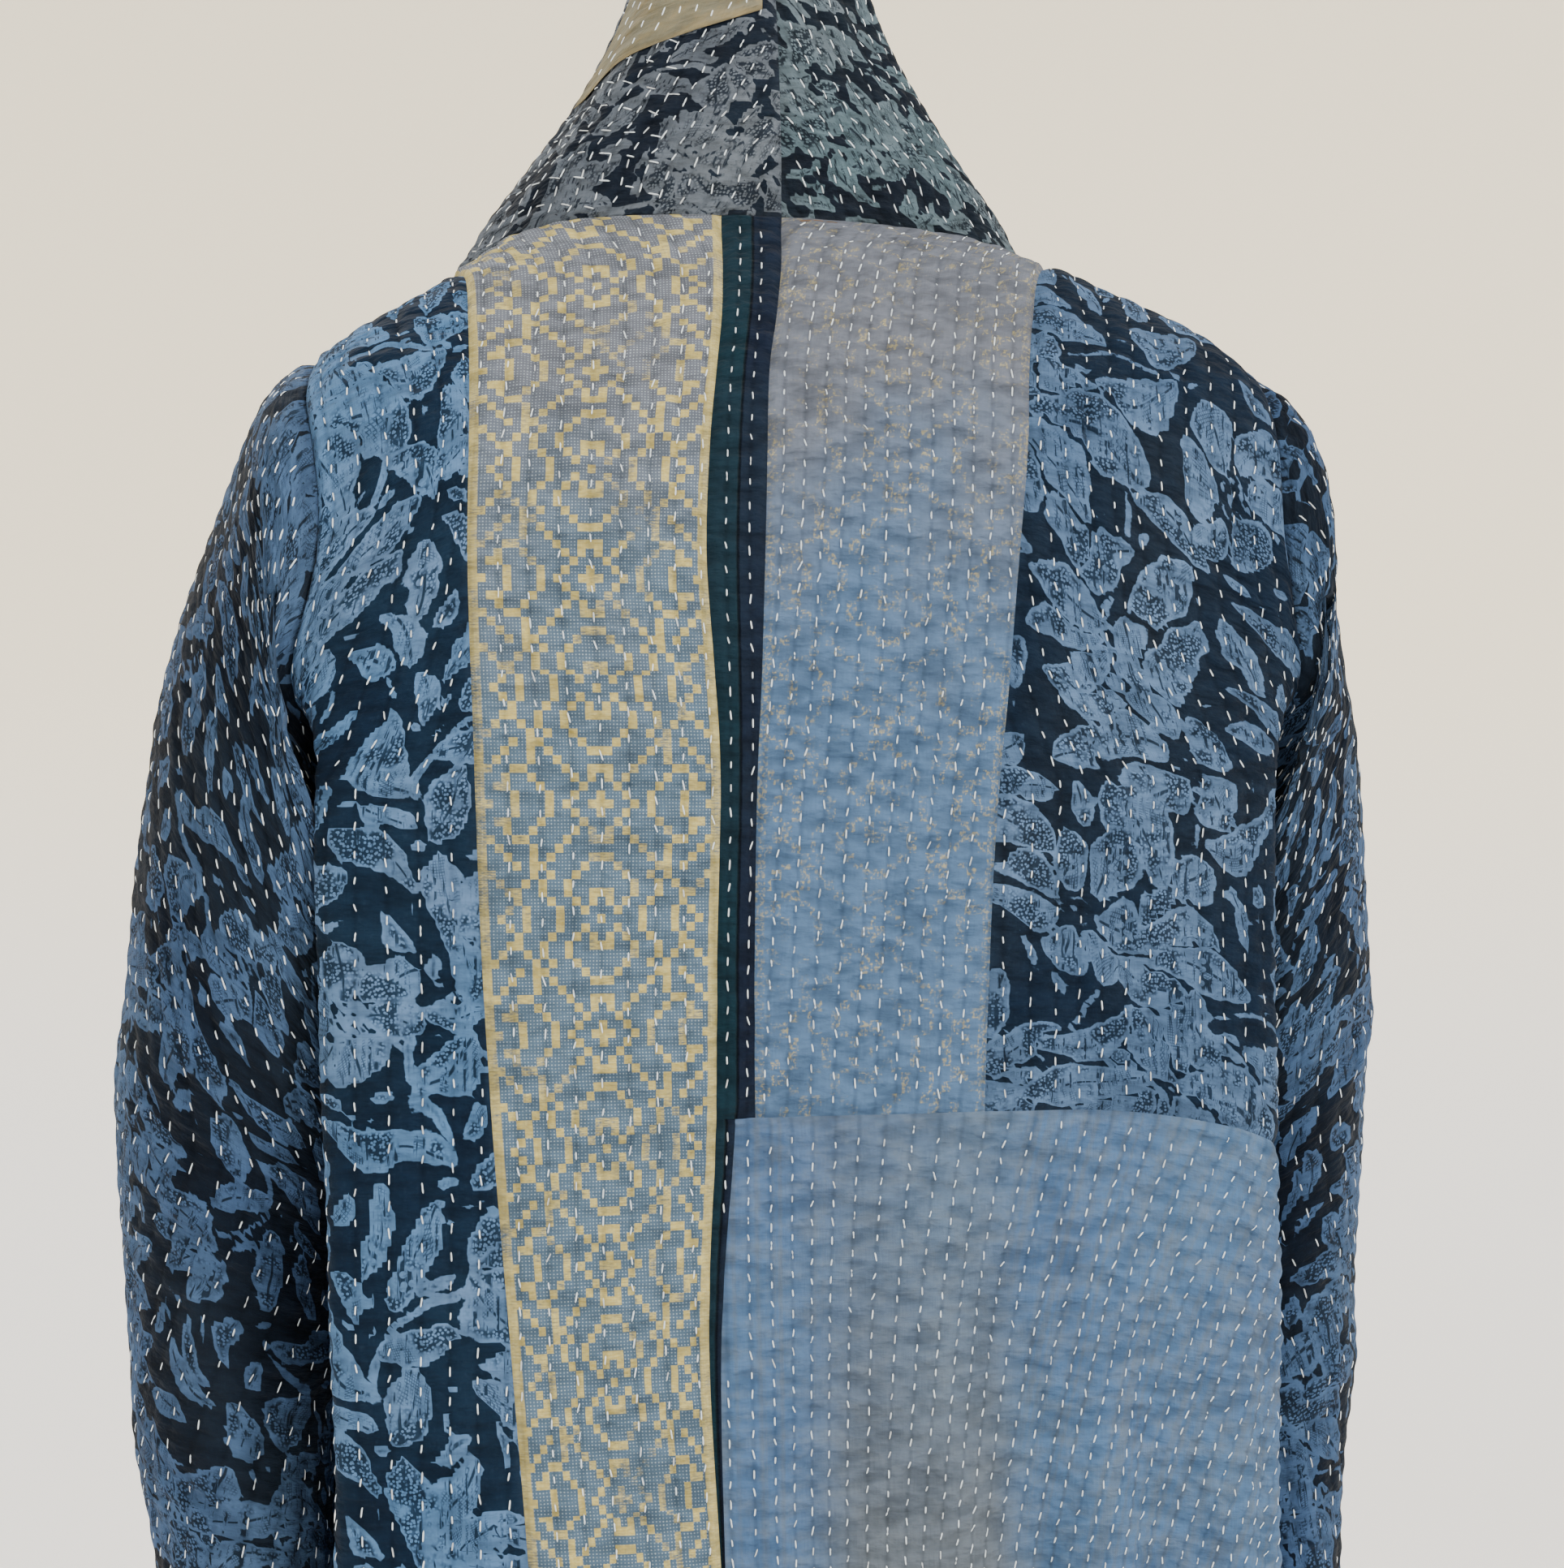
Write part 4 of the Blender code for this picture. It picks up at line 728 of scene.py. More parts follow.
# The stage, the lights (place, aim, size, power, colour) and the camera
STAGE_FLOOR = -1.43
STAGE_FLAT = 3.0
STAGE_BEND = 1.2
STAGE_TOP = 4.5
STAGE_STEPS = 12
STAGE_FLAT_STEPS = 8
STAGE_AROUND = 96
STAGE_WARM = (0.90, 0.83, 0.68, 1.0)
STAGE_COOL = (0.88, 0.88, 0.90, 1.0)
STAGE_GLOW = 0.44
STAGE_ROUGHNESS = 0.9
STAGE_COOL_BELOW = -1.1
STAGE_WARM_ABOVE = 0.1
WORLD_COLOUR = (0.86, 0.90, 0.96, 1.0)
WORLD_STRENGTH = 0.30
LIGHTS = (
    ("key", (-1.1, 1.7, 1.9), (0.0, 0.1, -0.3), 0.6, 86.0, (1.0, 0.98, 0.95)),
    ("fill", (2.2, 2.0, 0.2), (0.0, 0.1, -0.4), 1.8, 9.0, (0.86, 0.93, 1.0)),
    ("front_key", (1.2, -1.8, 1.7), (0.0, 0.0, -0.4), 0.8, 66.0, (1.0, 0.98, 0.96)),
    ("front_fill", (-2.0, -1.9, 0.3), (0.0, 0.0, -0.5), 1.8, 16.0, (0.90, 0.95, 1.0)),
    ("top", (0.0, 0.3, 2.4), (0.0, 0.0, 0.0), 1.4, 12.0, (1.0, 1.0, 1.0)),
)
IMAGE_WIDTH = 1927
FOCAL_PIXELS = 3750
CAMERA_TURN = 15.0
CAMERA_DISTANCE = 1.5
CAMERA_ASIDE = 0.0174
CAMERA_HEIGHT = -0.267
CAMERA_CLIP = (0.05, 30.0)


def named(columns, rows):
    """A table's rows, each with its values under their columns' names."""
    return [dict(zip(columns, row)) for row in rows]


def unit(vectors):
    """The same directions, each of length one."""
    return vectors / np.linalg.norm(vectors, axis=-1, keepdims=True)


def run_along(points, axis=0):
    """Distance along a path, or along every column (axis 0) or row (axis 1) of a grid, at each point."""
    steps = np.linalg.norm(np.diff(points, axis=axis), axis=-1)
    start = np.zeros_like(np.take(steps, [0], axis=axis))
    return np.concatenate([start, np.cumsum(steps, axis=axis)], axis=axis)


def smooth_step(share):
    """From 0 to 1 as the share does, with a soft start and end, and flat beyond."""
    share = np.clip(share, 0.0, 1.0)
    return share * share * (3.0 - 2.0 * share)


def through(rows, place):
    """A smooth curve through rows[0], rows[1] and so on, read at the numbers in place."""
    rows = np.asarray(rows, float)
    place = np.asarray(place, float)
    first = np.clip(np.floor(place).astype(int), 0, len(rows) - 2)
    share = place - first
    share = share.reshape(share.shape + (1,) * (rows.ndim - 1))
    padded = np.concatenate([[2 * rows[0] - rows[1]], rows, [2 * rows[-1] - rows[-2]]])
    before, start, end, after = (padded[first + step] for step in range(4))
    lean_start = (end - before) / 2
    lean_end = (after - start) / 2
    return hermite(start, end, lean_start, lean_end, share)


def hermite(start, end, lean_start, lean_end, share):
    """Points of smooth curves between their ends, with the lean of each end."""
    square = share * share
    cube = square * share
    return (
        start * (2 * cube - 3 * square + 1)
        + lean_start * (cube - 2 * square + share)
        + end * (3 * square - 2 * cube)
        + lean_end * (cube - square)
    )


def ring_knots(size):
    """The six knots of one ring, with heights that swing from back to side and from side to front."""
    back_to_side = size["z_side"] - size["z_back"]
    side_to_front = size["z_front"] - size["z_side"]
    height = {
        BACK: size["z_back"],
        CORNER: size["z_back"] + CORNER_SHARE * back_to_side,
        TUCK: size["z_back"] + TUCK_SHARE * back_to_side,
        SIDE: size["z_side"],
        CHEST: size["z_side"] + CHEST_SHARE * side_to_front,
        FRONT: size["z_front"],
    }
    return (
        (0.0, size["back_y"], height[BACK]),
        (size["corner_x"], size["corner_y"], height[CORNER]),
        (size["tuck_x"], size["tuck_y"], height[TUCK]),
        (size["side_x"], size["side_y"], height[SIDE]),
        (size["chest_x"], size["chest_y"], height[CHEST]),
        (0.0, size["front_y"], height[FRONT]),
    )


KNOTS = np.array([ring_knots(size) for size in named(FIGURE_COLUMNS, FIGURE_ROWS.values())])
MIRROR = np.array([-1.0, 1.0, 1.0])


def fold_depth(around, level):
    """How far the broad folds push the cloth out at each point."""
    depth = np.zeros(np.shape(around))
    for fold in named(FOLD_COLUMNS, FOLD_ROWS):
        drop = (LEVEL[fold["top_level"]] - level) / LEVEL[fold["top_level"]]
        centre = fold["around"] + fold["lean"] * drop
        crest = np.exp(-(((around - centre) / fold["spread"]) ** 2))
        trough = np.exp(-(((around - centre) / (TROUGH_SPREAD * fold["spread"])) ** 2))
        depth = depth + fold["depth"] * smooth_step(drop) * (FOLD_CREST * crest - FOLD_TROUGH * trough)
    return depth


def shoulder_weight(level):
    """How fully a level takes the tilt of the shoulders: none at the neck seam and under the arms."""
    rising = smooth_step((level - LEVEL["blade_low"]) / (LEVEL["cap"] - LEVEL["blade_low"]))
    return rising * smooth_step((LEVEL["neck"] - level) / (LEVEL["neck"] - LEVEL["ridge"]))


def figure(around, level):
    """Points of the figure. Negative `around` is the wearer's right; past the front centre it goes on."""
    around, level = np.broadcast_arrays(np.asarray(around, float), np.asarray(level, float))
    past = np.abs(around) > FRONT
    side = np.where(around < 0, -1.0, 1.0) * np.where(past, -1.0, 1.0)
    reach = np.where(past, ONCE_ROUND - np.abs(around), np.abs(around))
    ring = through(KNOTS, level)
    padded = np.concatenate([ring[..., 1:2, :] * MIRROR, ring, ring[..., 4:5, :] * MIRROR], axis=-2)
    first = np.clip(np.floor(reach).astype(int), BACK, CHEST)
    before, start, end, after = (
        np.take_along_axis(padded, (first + step)[..., None, None], axis=-2)[..., 0, :] for step in range(4)
    )
    gap_before, gap, gap_after = (
        np.sqrt(np.linalg.norm(far - near, axis=-1, keepdims=True))
        for near, far in ((before, start), (start, end), (end, after))
    )
    lean_start = ((end - start) * gap_before / gap + (start - before) * gap / gap_before) / (gap_before + gap)
    lean_end = ((after - end) * gap / gap_after + (end - start) * gap_after / gap) / (gap + gap_after)
    points = hermite(start, end, lean_start * gap, lean_end * gap, (reach - first)[..., None])
    points[..., 0] *= side
    outward = unit(points[..., :2] - np.array([0.0, FOLD_CENTRE_Y]))
    points[..., :2] += outward * fold_depth(side * reach, level)[..., None]
    points[..., 2] -= SHOULDER_TILT * points[..., 0] / SHOULDER_WIDTH * shoulder_weight(level)
    return points


def figure_normals(around, level):
    """Which way the figure faces at each point, from the points beside it."""
    along = figure(around + NORMAL_STEP_ROUND, level) - figure(around - NORMAL_STEP_ROUND, level)
    low = np.clip(level - NORMAL_STEP_UP, 0.0, LEVEL["top"])
    high = np.clip(level + NORMAL_STEP_UP, 0.0, LEVEL["top"])
    return unit(np.cross(figure(around, high) - figure(around, low), along))


def search(distance, level, start, end):
    """Where from start to end, along which the figure nears the side or leaves it, it is `distance` out."""
    near = np.broadcast_to(start, np.shape(level)).astype(float)
    far = np.broadcast_to(end, np.shape(level)).astype(float)
    for _ in range(HALVINGS):
        middle = (near + far) / 2
        outside = figure(middle, level)[..., 0] > np.abs(distance)
        near = np.where(outside, near, middle)
        far = np.where(outside, middle, far)
    return (near + far) / 2


def back_around(distance, level):
    """Where on the back the figure is `distance` to the wearer's left of the centre, or right if negative."""
    reach = np.where(level < LEVEL["tip"], CORNER, SIDE)
    return search(distance, level, BACK, reach) * np.sign(distance)


def front_around(distance, level):
    """Where on the wearer's left front, or past the centre, the figure is `distance` to the left."""
    found = search(distance, level, FRONT, SIDE)
    return np.where(distance < 0, ONCE_ROUND - found, found)


def back_seam(column, level):
    """`around` of a back seam at the levels asked for."""
    distances = [row[SEAM_COLUMNS.index(column)] for row in SEAM_ROWS.values()]
    distance = through(distances, level)
    found = back_around(distance, level)
    if column in ("strip_outer", "floral_inner"):
        at_neck = level > LEVEL["neck"] - NEAR
        found = np.where(at_neck, np.copysign(SIDE, distance), found)
    return found


def band_edges(level):
    """`around` of the left band's seam, and `around` and level of its free edge, at the levels asked for."""
    edge = dict(zip(BAND_COLUMNS, through(list(BAND_ROWS.values()), level).T))
    at_neck = level > LEVEL["neck"] - NEAR
    seam = np.where(at_neck, SIDE, front_around(edge["seam_x"], level))
    free = np.where(at_neck, SIDE, front_around(edge["free_x"], edge["free_level"]))
    return seam, free, edge["free_level"]


def level_at_height(height):
    """The level whose centre back stands at a height."""
    heights = [row[0] for row in FIGURE_ROWS.values()]
    fine = np.linspace(0, len(heights) - 1, FINE_STEPS)
    return np.interp(height, through(np.array(heights), fine), fine)


def falling(around, level):
    """Levels of the wearer's right side, whose rows fall outward where the waist seam does."""
    fullness = np.interp(level, [LEVEL["hem"], LEVEL["waist"], LEVEL["underarm"]], [0.0, 1.0, 0.0])
    share = smooth_step((np.abs(around) - DROP_START) / (DROP_END - DROP_START))
    return level - WAIST_SEAM_DROP * fullness * share


def mesh_levels():
    """Levels of the mesh rows at a panel's centre and at its side, where the armhole is."""
    hem, waist, underarm = (FIGURE_ROWS[name][0] for name in ("hem", "waist", "underarm"))
    skirt = level_at_height(np.linspace(hem, waist, SKIRT_ROWS + 1))
    middle = level_at_height(np.linspace(waist, underarm, WAIST_ROWS + 1))[1:]
    fine = np.linspace(LEVEL["underarm"], LEVEL["neck"], FINE_STEPS)
    run = run_along(figure(back_seam("strip_outer", fine), fine))
    yoke = np.interp(run[-1] * np.arange(1, ARMHOLE_STEPS + 1) / ARMHOLE_STEPS, run, fine)
    armhole = ARMHOLE_MIDDLE - ARMHOLE_HALF * np.cos(ARMHOLE_TURN)
    below = np.concatenate([skirt, middle])
    return np.concatenate([below, yoke]), np.concatenate([below, armhole])


def armhole_around(turn):
    """Where round the figure the armhole runs: turn 0 is at the shoulder, a quarter turn at the back."""
    reach = np.where(np.sin(turn) > 0, -ARMHOLE_BACK_REACH, ARMHOLE_FRONT_REACH)
    return SIDE + reach * np.abs(np.sin(turn))


def side_edge(front):
    """`around` at each mesh row of the side seam and armhole, on the wearer's left."""
    below = np.full(SKIRT_ROWS + WAIST_ROWS + 1, float(SIDE))
    edge = armhole_around(np.pi + ARMHOLE_TURN) if front else armhole_around(np.pi - ARMHOLE_TURN)
    return np.concatenate([below, edge])


def between(start, end, share):
    """Values part of the way from each row's start to its end."""
    return start[:, None] + (end - start)[:, None] * share


def evenly(start, end, start_level, end_level, columns):
    """(around, level) of a row's points, at equal distances along the cloth."""
    fine = np.linspace(0.0, 1.0, EVEN_STEPS + 1)[None, :]
    lengths = run_along(figure(between(start, end, fine), between(start_level, end_level, fine)), axis=1)
    wanted = np.linspace(0.0, 1.0, columns + 1)
    share = np.array([np.interp(wanted * run[-1], run, fine[0]) for run in lengths])
    return between(start, end, share), between(start_level, end_level, share)


def inset(points, sides, gap=SEAM_GAP / 2):
    """Draws the named edges of a grid in from the seam line by half the gap."""
    edges = {
        "left": (np.s_[:, 0], np.s_[:, 1]),
        "right": (np.s_[:, -1], np.s_[:, -2]),
        "bottom": (np.s_[0], np.s_[1]),
        "top": (np.s_[-1], np.s_[-2]),
    }
    for side in sides:
        edge, next_in = edges[side]
        points[edge] = points[edge] + unit(points[next_in] - points[edge]) * gap
    return points


def uneven(points):
    """The slight unevenness of worn cloth, the same on both sides of every seam."""
    height = np.zeros(points.shape[:-1])
    for along_x, along_y, along_z, phase, depth in UNEVEN_WAVES:
        turn = points[..., 0] * along_x + points[..., 1] * along_y + points[..., 2] * along_z
        height += depth * np.sin(turn + phase)
    return height


def crease(across, up, size):
    """One soft trough (or ridge) with the cloth gathered up beside it, bent a little along its length."""
    turn = math.radians(size["turn"])
    along = across * math.cos(turn) + up * math.sin(turn)
    aside = up * math.cos(turn) - across * math.sin(turn) + size["bend"] * along**2
    fade = np.exp(-((along / size["length"]) ** 2))
    middle = np.exp(-((aside / size["width"]) ** 2))
    beside = np.exp(-((aside / (CREASE_BESIDE * size["width"])) ** 2))
    return -size["depth"] * fade * (FOLD_CREST * middle - FOLD_TROUGH * beside)


def body_relief(points):
    """Creases and unevenness of the body, collar and belt, by their place in space."""
    height = uneven(points)
    for table, side in ((BACK_CREASES, 1.0), (FRONT_CREASES, -1.0)):
        facing = smooth_step((side * (points[..., 1] - CREASE_EDGE_Y)) / CREASE_EDGE_SPREAD)
        for size in named(CREASE_COLUMNS, table):
            height += facing * crease(points[..., 0] - size["x"], points[..., 2] - size["z"], size)
    return height


def distances(points):
    """Distance across a grid from its middle column, and up its middle column."""
    middle = points.shape[1] // 2
    u = run_along(points, axis=1)
    v = run_along(points[:, middle])
    return u - u[:, middle: middle + 1], np.repeat(v[:, None], points.shape[1], axis=1)


def edge_distances(points):
    """Distance of each grid point from each of the four edges of its piece."""
    across, up = run_along(points, axis=1), run_along(points)
    return {"left": across, "right": across[:, -1:] - across, "bottom": up, "top": up[-1:] - up}


def sample(grid, row, column):
    """Values of a grid between its points."""
    low_row = np.clip(np.floor(row).astype(int), 0, grid.shape[0] - 2)
    low_column = np.clip(np.floor(column).astype(int), 0, grid.shape[1] - 2)
    row_share = (row - low_row)[..., None]
    column_share = (column - low_column)[..., None]
    near, far = (
        grid[beside, low_column] * (1 - column_share) + grid[beside, low_column + 1] * column_share
        for beside in (low_row, low_row + 1)
    )
    return near * (1 - row_share) + far * row_share


def numbers(*shape, start=0):
    """The numbers of a grid's points."""
    return start + np.arange(math.prod(shape)).reshape(shape)


def ring_numbers(rings, columns):
    """The numbers of the points of closed rings, with each ring's first point again at its end."""
    return np.pad(numbers(rings, columns), ((0, 0), (0, 1)), mode="wrap")


def quads(index, turned=False):
    """The faces between the points of grids, each as four point numbers, turned over if asked."""
    corners = [index[..., :-1, :-1], index[..., 1:, :-1], index[..., 1:, 1:], index[..., :-1, 1:]]
    if turned:
        corners = corners[:1] + corners[:0:-1]
    return np.stack(corners, axis=-1).reshape(-1, len(corners)).tolist()


def shell_faces(rows, columns):
    """Faces of a shell: its outer grid, an inner one of every second row and column, and the rim between."""
    outer = numbers(rows, columns)
    inner = numbers((rows - 1) // 2 + 1, (columns - 1) // 2 + 1, start=rows * columns)
    edges = (
        (outer[0], inner[0], False),
        (outer[-1], inner[-1], True),
        (outer[:, 0], inner[:, 0], True),
        (outer[:, -1], inner[:, -1], False),
    )
    rims = []
    for far, near, turned in edges:
        rim = np.stack([far[:-2:2], far[1:-1:2], far[2::2], near[1:], near[:-1]], axis=-1)
        rims += (rim[:, ::-1] if turned else rim).tolist()
    return quads(outer), quads(inner, turned=True), rims


def new_piece(name, vertices, faces, materials):
    """A mesh object of the scene that rides on the coat's one body."""
    mesh = bpy.data.meshes.new(name)
    mesh.from_pydata(np.asarray(vertices).tolist(), [], faces)
    mesh.update()
    mesh.shade_smooth()
    mesh.set_sharp_from_angle(angle=CREASE_ANGLE)
    for material in materials:
        mesh.materials.append(MATERIALS[material])
    piece = bpy.data.objects.new(name, mesh)
    bpy.context.scene.collection.objects.link(piece)
    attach(piece, "root")
    return piece


def keep(mesh, name, values, kind="FLOAT_VECTOR", domain="POINT"):
    """Keeps numbers on a mesh for its material to read."""
    field = "vector" if kind == "FLOAT_VECTOR" else "value"
    kept = mesh.attributes.new(name, kind, domain)
    kept.data.foreach_set(field, np.asarray(values, np.float32).ravel())


def both_sides(outer, inner):
    """A shell's values in the order of its points: the outer grid's, then every second one of the inner's."""
    return np.concatenate([outer.reshape(-1, 3), inner[::2, ::2].reshape(-1, 3)])


def stitch_phase(row):
    """Where along itself a row of stitches starts, as a share of the pitch."""
    return np.mod(row * STITCH_TURN, 1.0)


def quilt_field(node, u, v):
    """Which row of stitches a point is at: whole numbers lie on the rows, halves midway between them."""
    rows = ROWS_OF_STITCHES[node]
    along = v[:, 0]
    blend = smooth_step((along - rows["change"]) / rows["over"] + 0.5)
    lean = rows["lean_low"] + (rows["lean_high"] - rows["lean_low"]) * blend
    drift = np.concatenate([[0.0], np.cumsum((lean[1:] + lean[:-1]) / 2 * np.diff(along))])[:, None]
    drawn = np.maximum(FAN_REACH - u, 0.0) * rows["fan"]
    below = np.clip(v[-1:] - v, 0.0, FAN_DEPTH)
    place = (u + drawn * (FAN_OPEN - FAN_CLOSING * below) + drift) / rows["apart"] + rows["shift"]
    wave = ROW_WAVE * np.sin(v / ROW_WAVE_PITCH + ROW_WAVE_TURN * u / rows["apart"])
    return place + wave


def quilt_height(node, place, v, from_edge):
    """The puffs between rows of stitches, drawn together between the stitches of neighbouring rows."""
    rows = ROWS_OF_STITCHES[node]
    puff = np.abs(np.sin(np.pi * place)) ** PUFF_POWER
    first = np.floor(place)
    share = smooth_step(place - first)
    start, end = stitch_phase(first), stitch_phase(first + 1)
    turn = np.mod(end - start + 0.5, 1.0) - 0.5
    pull = np.cos(2 * np.pi * (v / rows["pitch"] - start - turn * share)) * rows["pucker"]
    swell = 1 + PUFF_UNEVEN * np.sin(v / PUFF_UNEVEN_PITCH + first * PUFF_UNEVEN_TURN) * puff
    height = QUILT_RISE * puff * swell - PUCKER_DEPTH * pull * (1 - puff / 2)
    return height * smooth_step(from_edge / EDGE_FADE)


def add_cloth(node, slot, points, normals, seams="", layer=0.0, wall=WALL, relief=None, quilted=True,
              material=None, plain_inside=1.0):
    """One piece of cloth as a thin shell in place of its solid. Returns what its stitches need."""
    rows, columns = points.shape[:2]
    points = inset(points.copy(), seams.split(), -SEAM_LAP)
    relief = body_relief(points) if relief is None else relief
    edges = edge_distances(points)
    from_edge = np.minimum.reduce(list(edges.values()))
    u, v = distances(points)
    rise = 0.0
    place = np.zeros((rows, columns))
    if quilted:
        place = quilt_field(node, u, v)
        rise = quilt_height(node, place, v, from_edge)
    roll = EDGE_ROLL * np.exp(-((from_edge / EDGE_ROLL_SPREAD) ** 2))
    for edge in seams.split():
        roll = roll + SEAM_DIP * np.exp(-((edges[edge] / SEAM_DIP_SPREAD) ** 2))
    inside = points + normals * (np.broadcast_to(layer, (rows, columns)) + relief)[..., None]
    outside = inside + normals * (wall + rise - roll)[..., None]
    outer_faces, inner_faces, rims = shell_faces(rows, columns)
    faces = outer_faces + inner_faces + rims
    piece = new_piece("cloth_" + node, both_sides(outside, inside), faces, (material or slot, "reverse"))
    mesh = piece.data
    slots = np.zeros(len(faces), np.int32)
    slots[len(outer_faces): len(outer_faces) + int(len(inner_faces) * plain_inside)] = 1
    mesh.polygons.foreach_set("material_index", slots)
    on_cloth = np.stack([u, v, place], axis=-1)
    to_edge = np.stack([edges["left"], edges["right"], from_edge], axis=-1)
    on_cloth = both_sides(on_cloth, on_cloth)
    keep(mesh, "on_cloth", on_cloth)
    keep(mesh, "to_edge", both_sides(to_edge, to_edge))
    if node in PRINT_PLACES:
        keep(mesh, "motif", print_field(on_cloth, *PRINT_PLACES[node]))
    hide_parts(node)
    return {"node": node, "piece": piece, "inside": inside, "outside": outside, "normals": normals,
            "place": place, "v": v, "from_edge": from_edge}


def declare(cloth):
    """Takes the diagonals of each cell of a piece's inner side, both ways, and keeps nothing."""
    points = cloth["inside"]
    one_way = points[1:, :-1] - points[:-1, 1:]
    other_way = points[1:, 1:] - points[:-1, :-1]


def stitch_rows(cloth):
    """(row number, row, column) along every row of stitches of a piece."""
    place = cloth["place"]
    wanted = np.arange(math.ceil(place.min()), math.floor(place.max()) + 1, dtype=float)
    across = np.arange(place.shape[1], dtype=float)
    found = np.array([np.interp(wanted, row, across, left=np.nan, right=np.nan) for row in place])
    lines = []
    for number, column in zip(wanted, found.T):
        kept = np.nonzero(~np.isnan(column))[0]
        if len(kept) >= LEAST_POINTS:
            lines.append((number, kept.astype(float), column[kept]))
    return lines


def stitches_along(cloth, lines, seed, pitch, length, phased):
    """Stations of every stitch as (row, column) places on its piece."""
    random = np.random.default_rng(seed)
    found = [np.zeros((0, len(THREAD_STATIONS), 2))]
    for number, row, column in lines:
        clear = sample(cloth["from_edge"][..., None], row, column)[:, 0] > STITCH_CLEAR
        if clear.sum() < LEAST_POINTS:
            continue
        row, column = row[clear], column[clear]
        run = run_along(sample(cloth["outside"], row, column))
        if phased:
            height = sample(cloth["v"][..., None], row, column)[0, 0]
            start = (stitch_phase(number) * pitch - height) % pitch
        else:
            start = random.random() * pitch
        centre = np.arange(start, run[-1], pitch)
        centre = centre + random.normal(0.0, STITCH_JITTER * pitch, len(centre))
        half = length / 2 * random.uniform(1 - STITCH_UNEVEN, 1 + STITCH_UNEVEN, len(centre))
        station = centre[:, None] + half[:, None] * np.array(THREAD_STATIONS)
        station = station[(station[:, 0] > 0) & (station[:, -1] < run[-1])]
        if len(station):
            found.append(np.stack([np.interp(station, run, row), np.interp(station, run, column)], axis=-1))
    return np.concatenate(found)


def add_stitches(cloth, places, seed, thread, kind):
    """Raised stitches of thread, whose ends go down into the cloth, as one mesh for each piece."""
    random = np.random.default_rng(seed + 1)
    points = sample(cloth["outside"], places[..., 0], places[..., 1])
    normals = sample(cloth["normals"], places[..., 0], places[..., 1])
    direction = points[:, -1:] - points[:, :1]
    kept = np.linalg.norm(direction, axis=-1)[:, 0] < LONGEST_STITCH
    points, normals, direction = points[kept], normals[kept], direction[kept]
    aside = unit(np.cross(unit(direction), normals))
    skew = random.normal(0.0, STITCH_SKEW, (len(points), 1)) * np.array(THREAD_STATIONS)[None, :]
    points = points + aside * skew[..., None]
    width = THREAD_RADIUS * np.array(THREAD_WIDTHS)[None, :, None]
    height = THREAD_RADIUS * np.array(THREAD_HEIGHTS)[None, :, None]
    section = [
        points + aside * (across * width) + normals * (up * width + height) for across, up in THREAD_SECTION
    ]
    vertices = np.stack(section, axis=2)
    count, stops, corners = vertices.shape[:3]
    faces = quads(numbers(count, stops, corners))
    piece = new_piece(kind + cloth["node"], vertices.reshape(-1, 3), faces, (thread,))
    keep(piece.data, "shade", np.repeat(random.random(count), stops * corners), "FLOAT")


def sew_lines(cloth, lines, pitch, length, phased=True, thread="thread", kind="stitches_", seed=None):
    """Stitches of one pitch and length along the lines given."""
    seed = seed or SEEDS[cloth["node"]]
    add_stitches(cloth, stitches_along(cloth, lines, seed, pitch, length, phased), seed, thread, kind)


def sew(cloth):
    """Every row of stitches of a piece."""
    rows = ROWS_OF_STITCHES[cloth["node"]]
    sew_lines(cloth, stitch_rows(cloth), rows["pitch"], rows["length"])


def slanted_rows(cloth):
    """Rows that cross the others on the collar, rising toward its centre seam."""
    rows, columns = cloth["place"].shape
    column = np.arange(columns, dtype=float)
    step = CROSSING_APART / cloth["v"][-1].mean() * (rows - 1)
    drop = CROSSING_LEAN * (rows - 1) / (columns - 1)
    lines = []
    for number in range(int((rows + drop * columns) / step)):
        row = number * step - drop * column[::-1] + CROSSING_WAVE * np.sin(column * CROSSING_TURN + number)
        kept = (row > 1) & (row < rows - 2) & (column > CROSSING_FROM * columns)
        if kept.sum() > LEAST_POINTS:
            lines.append((float(number), row[kept], column[kept]))
    return lines


def add_tack(cloth):
    """A short tack of brown thread just below the neck seam, over the last part of a piece's width."""
    rows, columns = cloth["place"].shape
    column = np.linspace(TACK_START, TACK_END, TACK_STEPS) * (columns - 1)
    row = np.full(TACK_STEPS, TACK_ROW * (rows - 1)) + TACK_SLOPE * column
    line = (0.0, row, column)
    sew_lines(cloth, [line], TACK_PITCH, TACK_LENGTH, False, "thread_brown", "tack_", TACK_SEED)


def wrapped(across, up, x, y):
    """Steps from (x, y) to each point of the repeating tile, the shorter way."""
    dx = np.mod(across - x + TILE_WIDTH / 2, TILE_WIDTH) - TILE_WIDTH / 2
    dy = np.mod(up - y + TILE_HEIGHT / 2, TILE_HEIGHT) - TILE_HEIGHT / 2
    return dx, dy


def leaf_field(across, up, row):
    """How far inside one leaf or petal each point is, and its place along and across that leaf."""
    size = dict(zip(LEAF_COLUMNS, row))
    turn = math.radians(size["turn"])
    x, y = wrapped(across, up, size["x"], size["y"])
    along = x * math.cos(turn) + y * math.sin(turn) + size["length"] / 2
    aside = y * math.cos(turn) - x * math.sin(turn)
    share = np.clip(along / size["length"], 0.0, 1.0)
    aside = aside - size["bend"] * 4 * share * (1 - share)
    half = size["width"] / 2 * np.sin(np.pi * share**size["heavy"]) ** size["full"]
    past = np.maximum(np.maximum(-along, along - size["length"]), 0.0)
    if size["length"] > SCALLOPED_FROM:
        half = half - SCALLOP_DEPTH * (1 - np.abs(np.sin(np.pi * along / SCALLOP_LENGTH)))
    return half - np.hypot(aside, past), along, aside


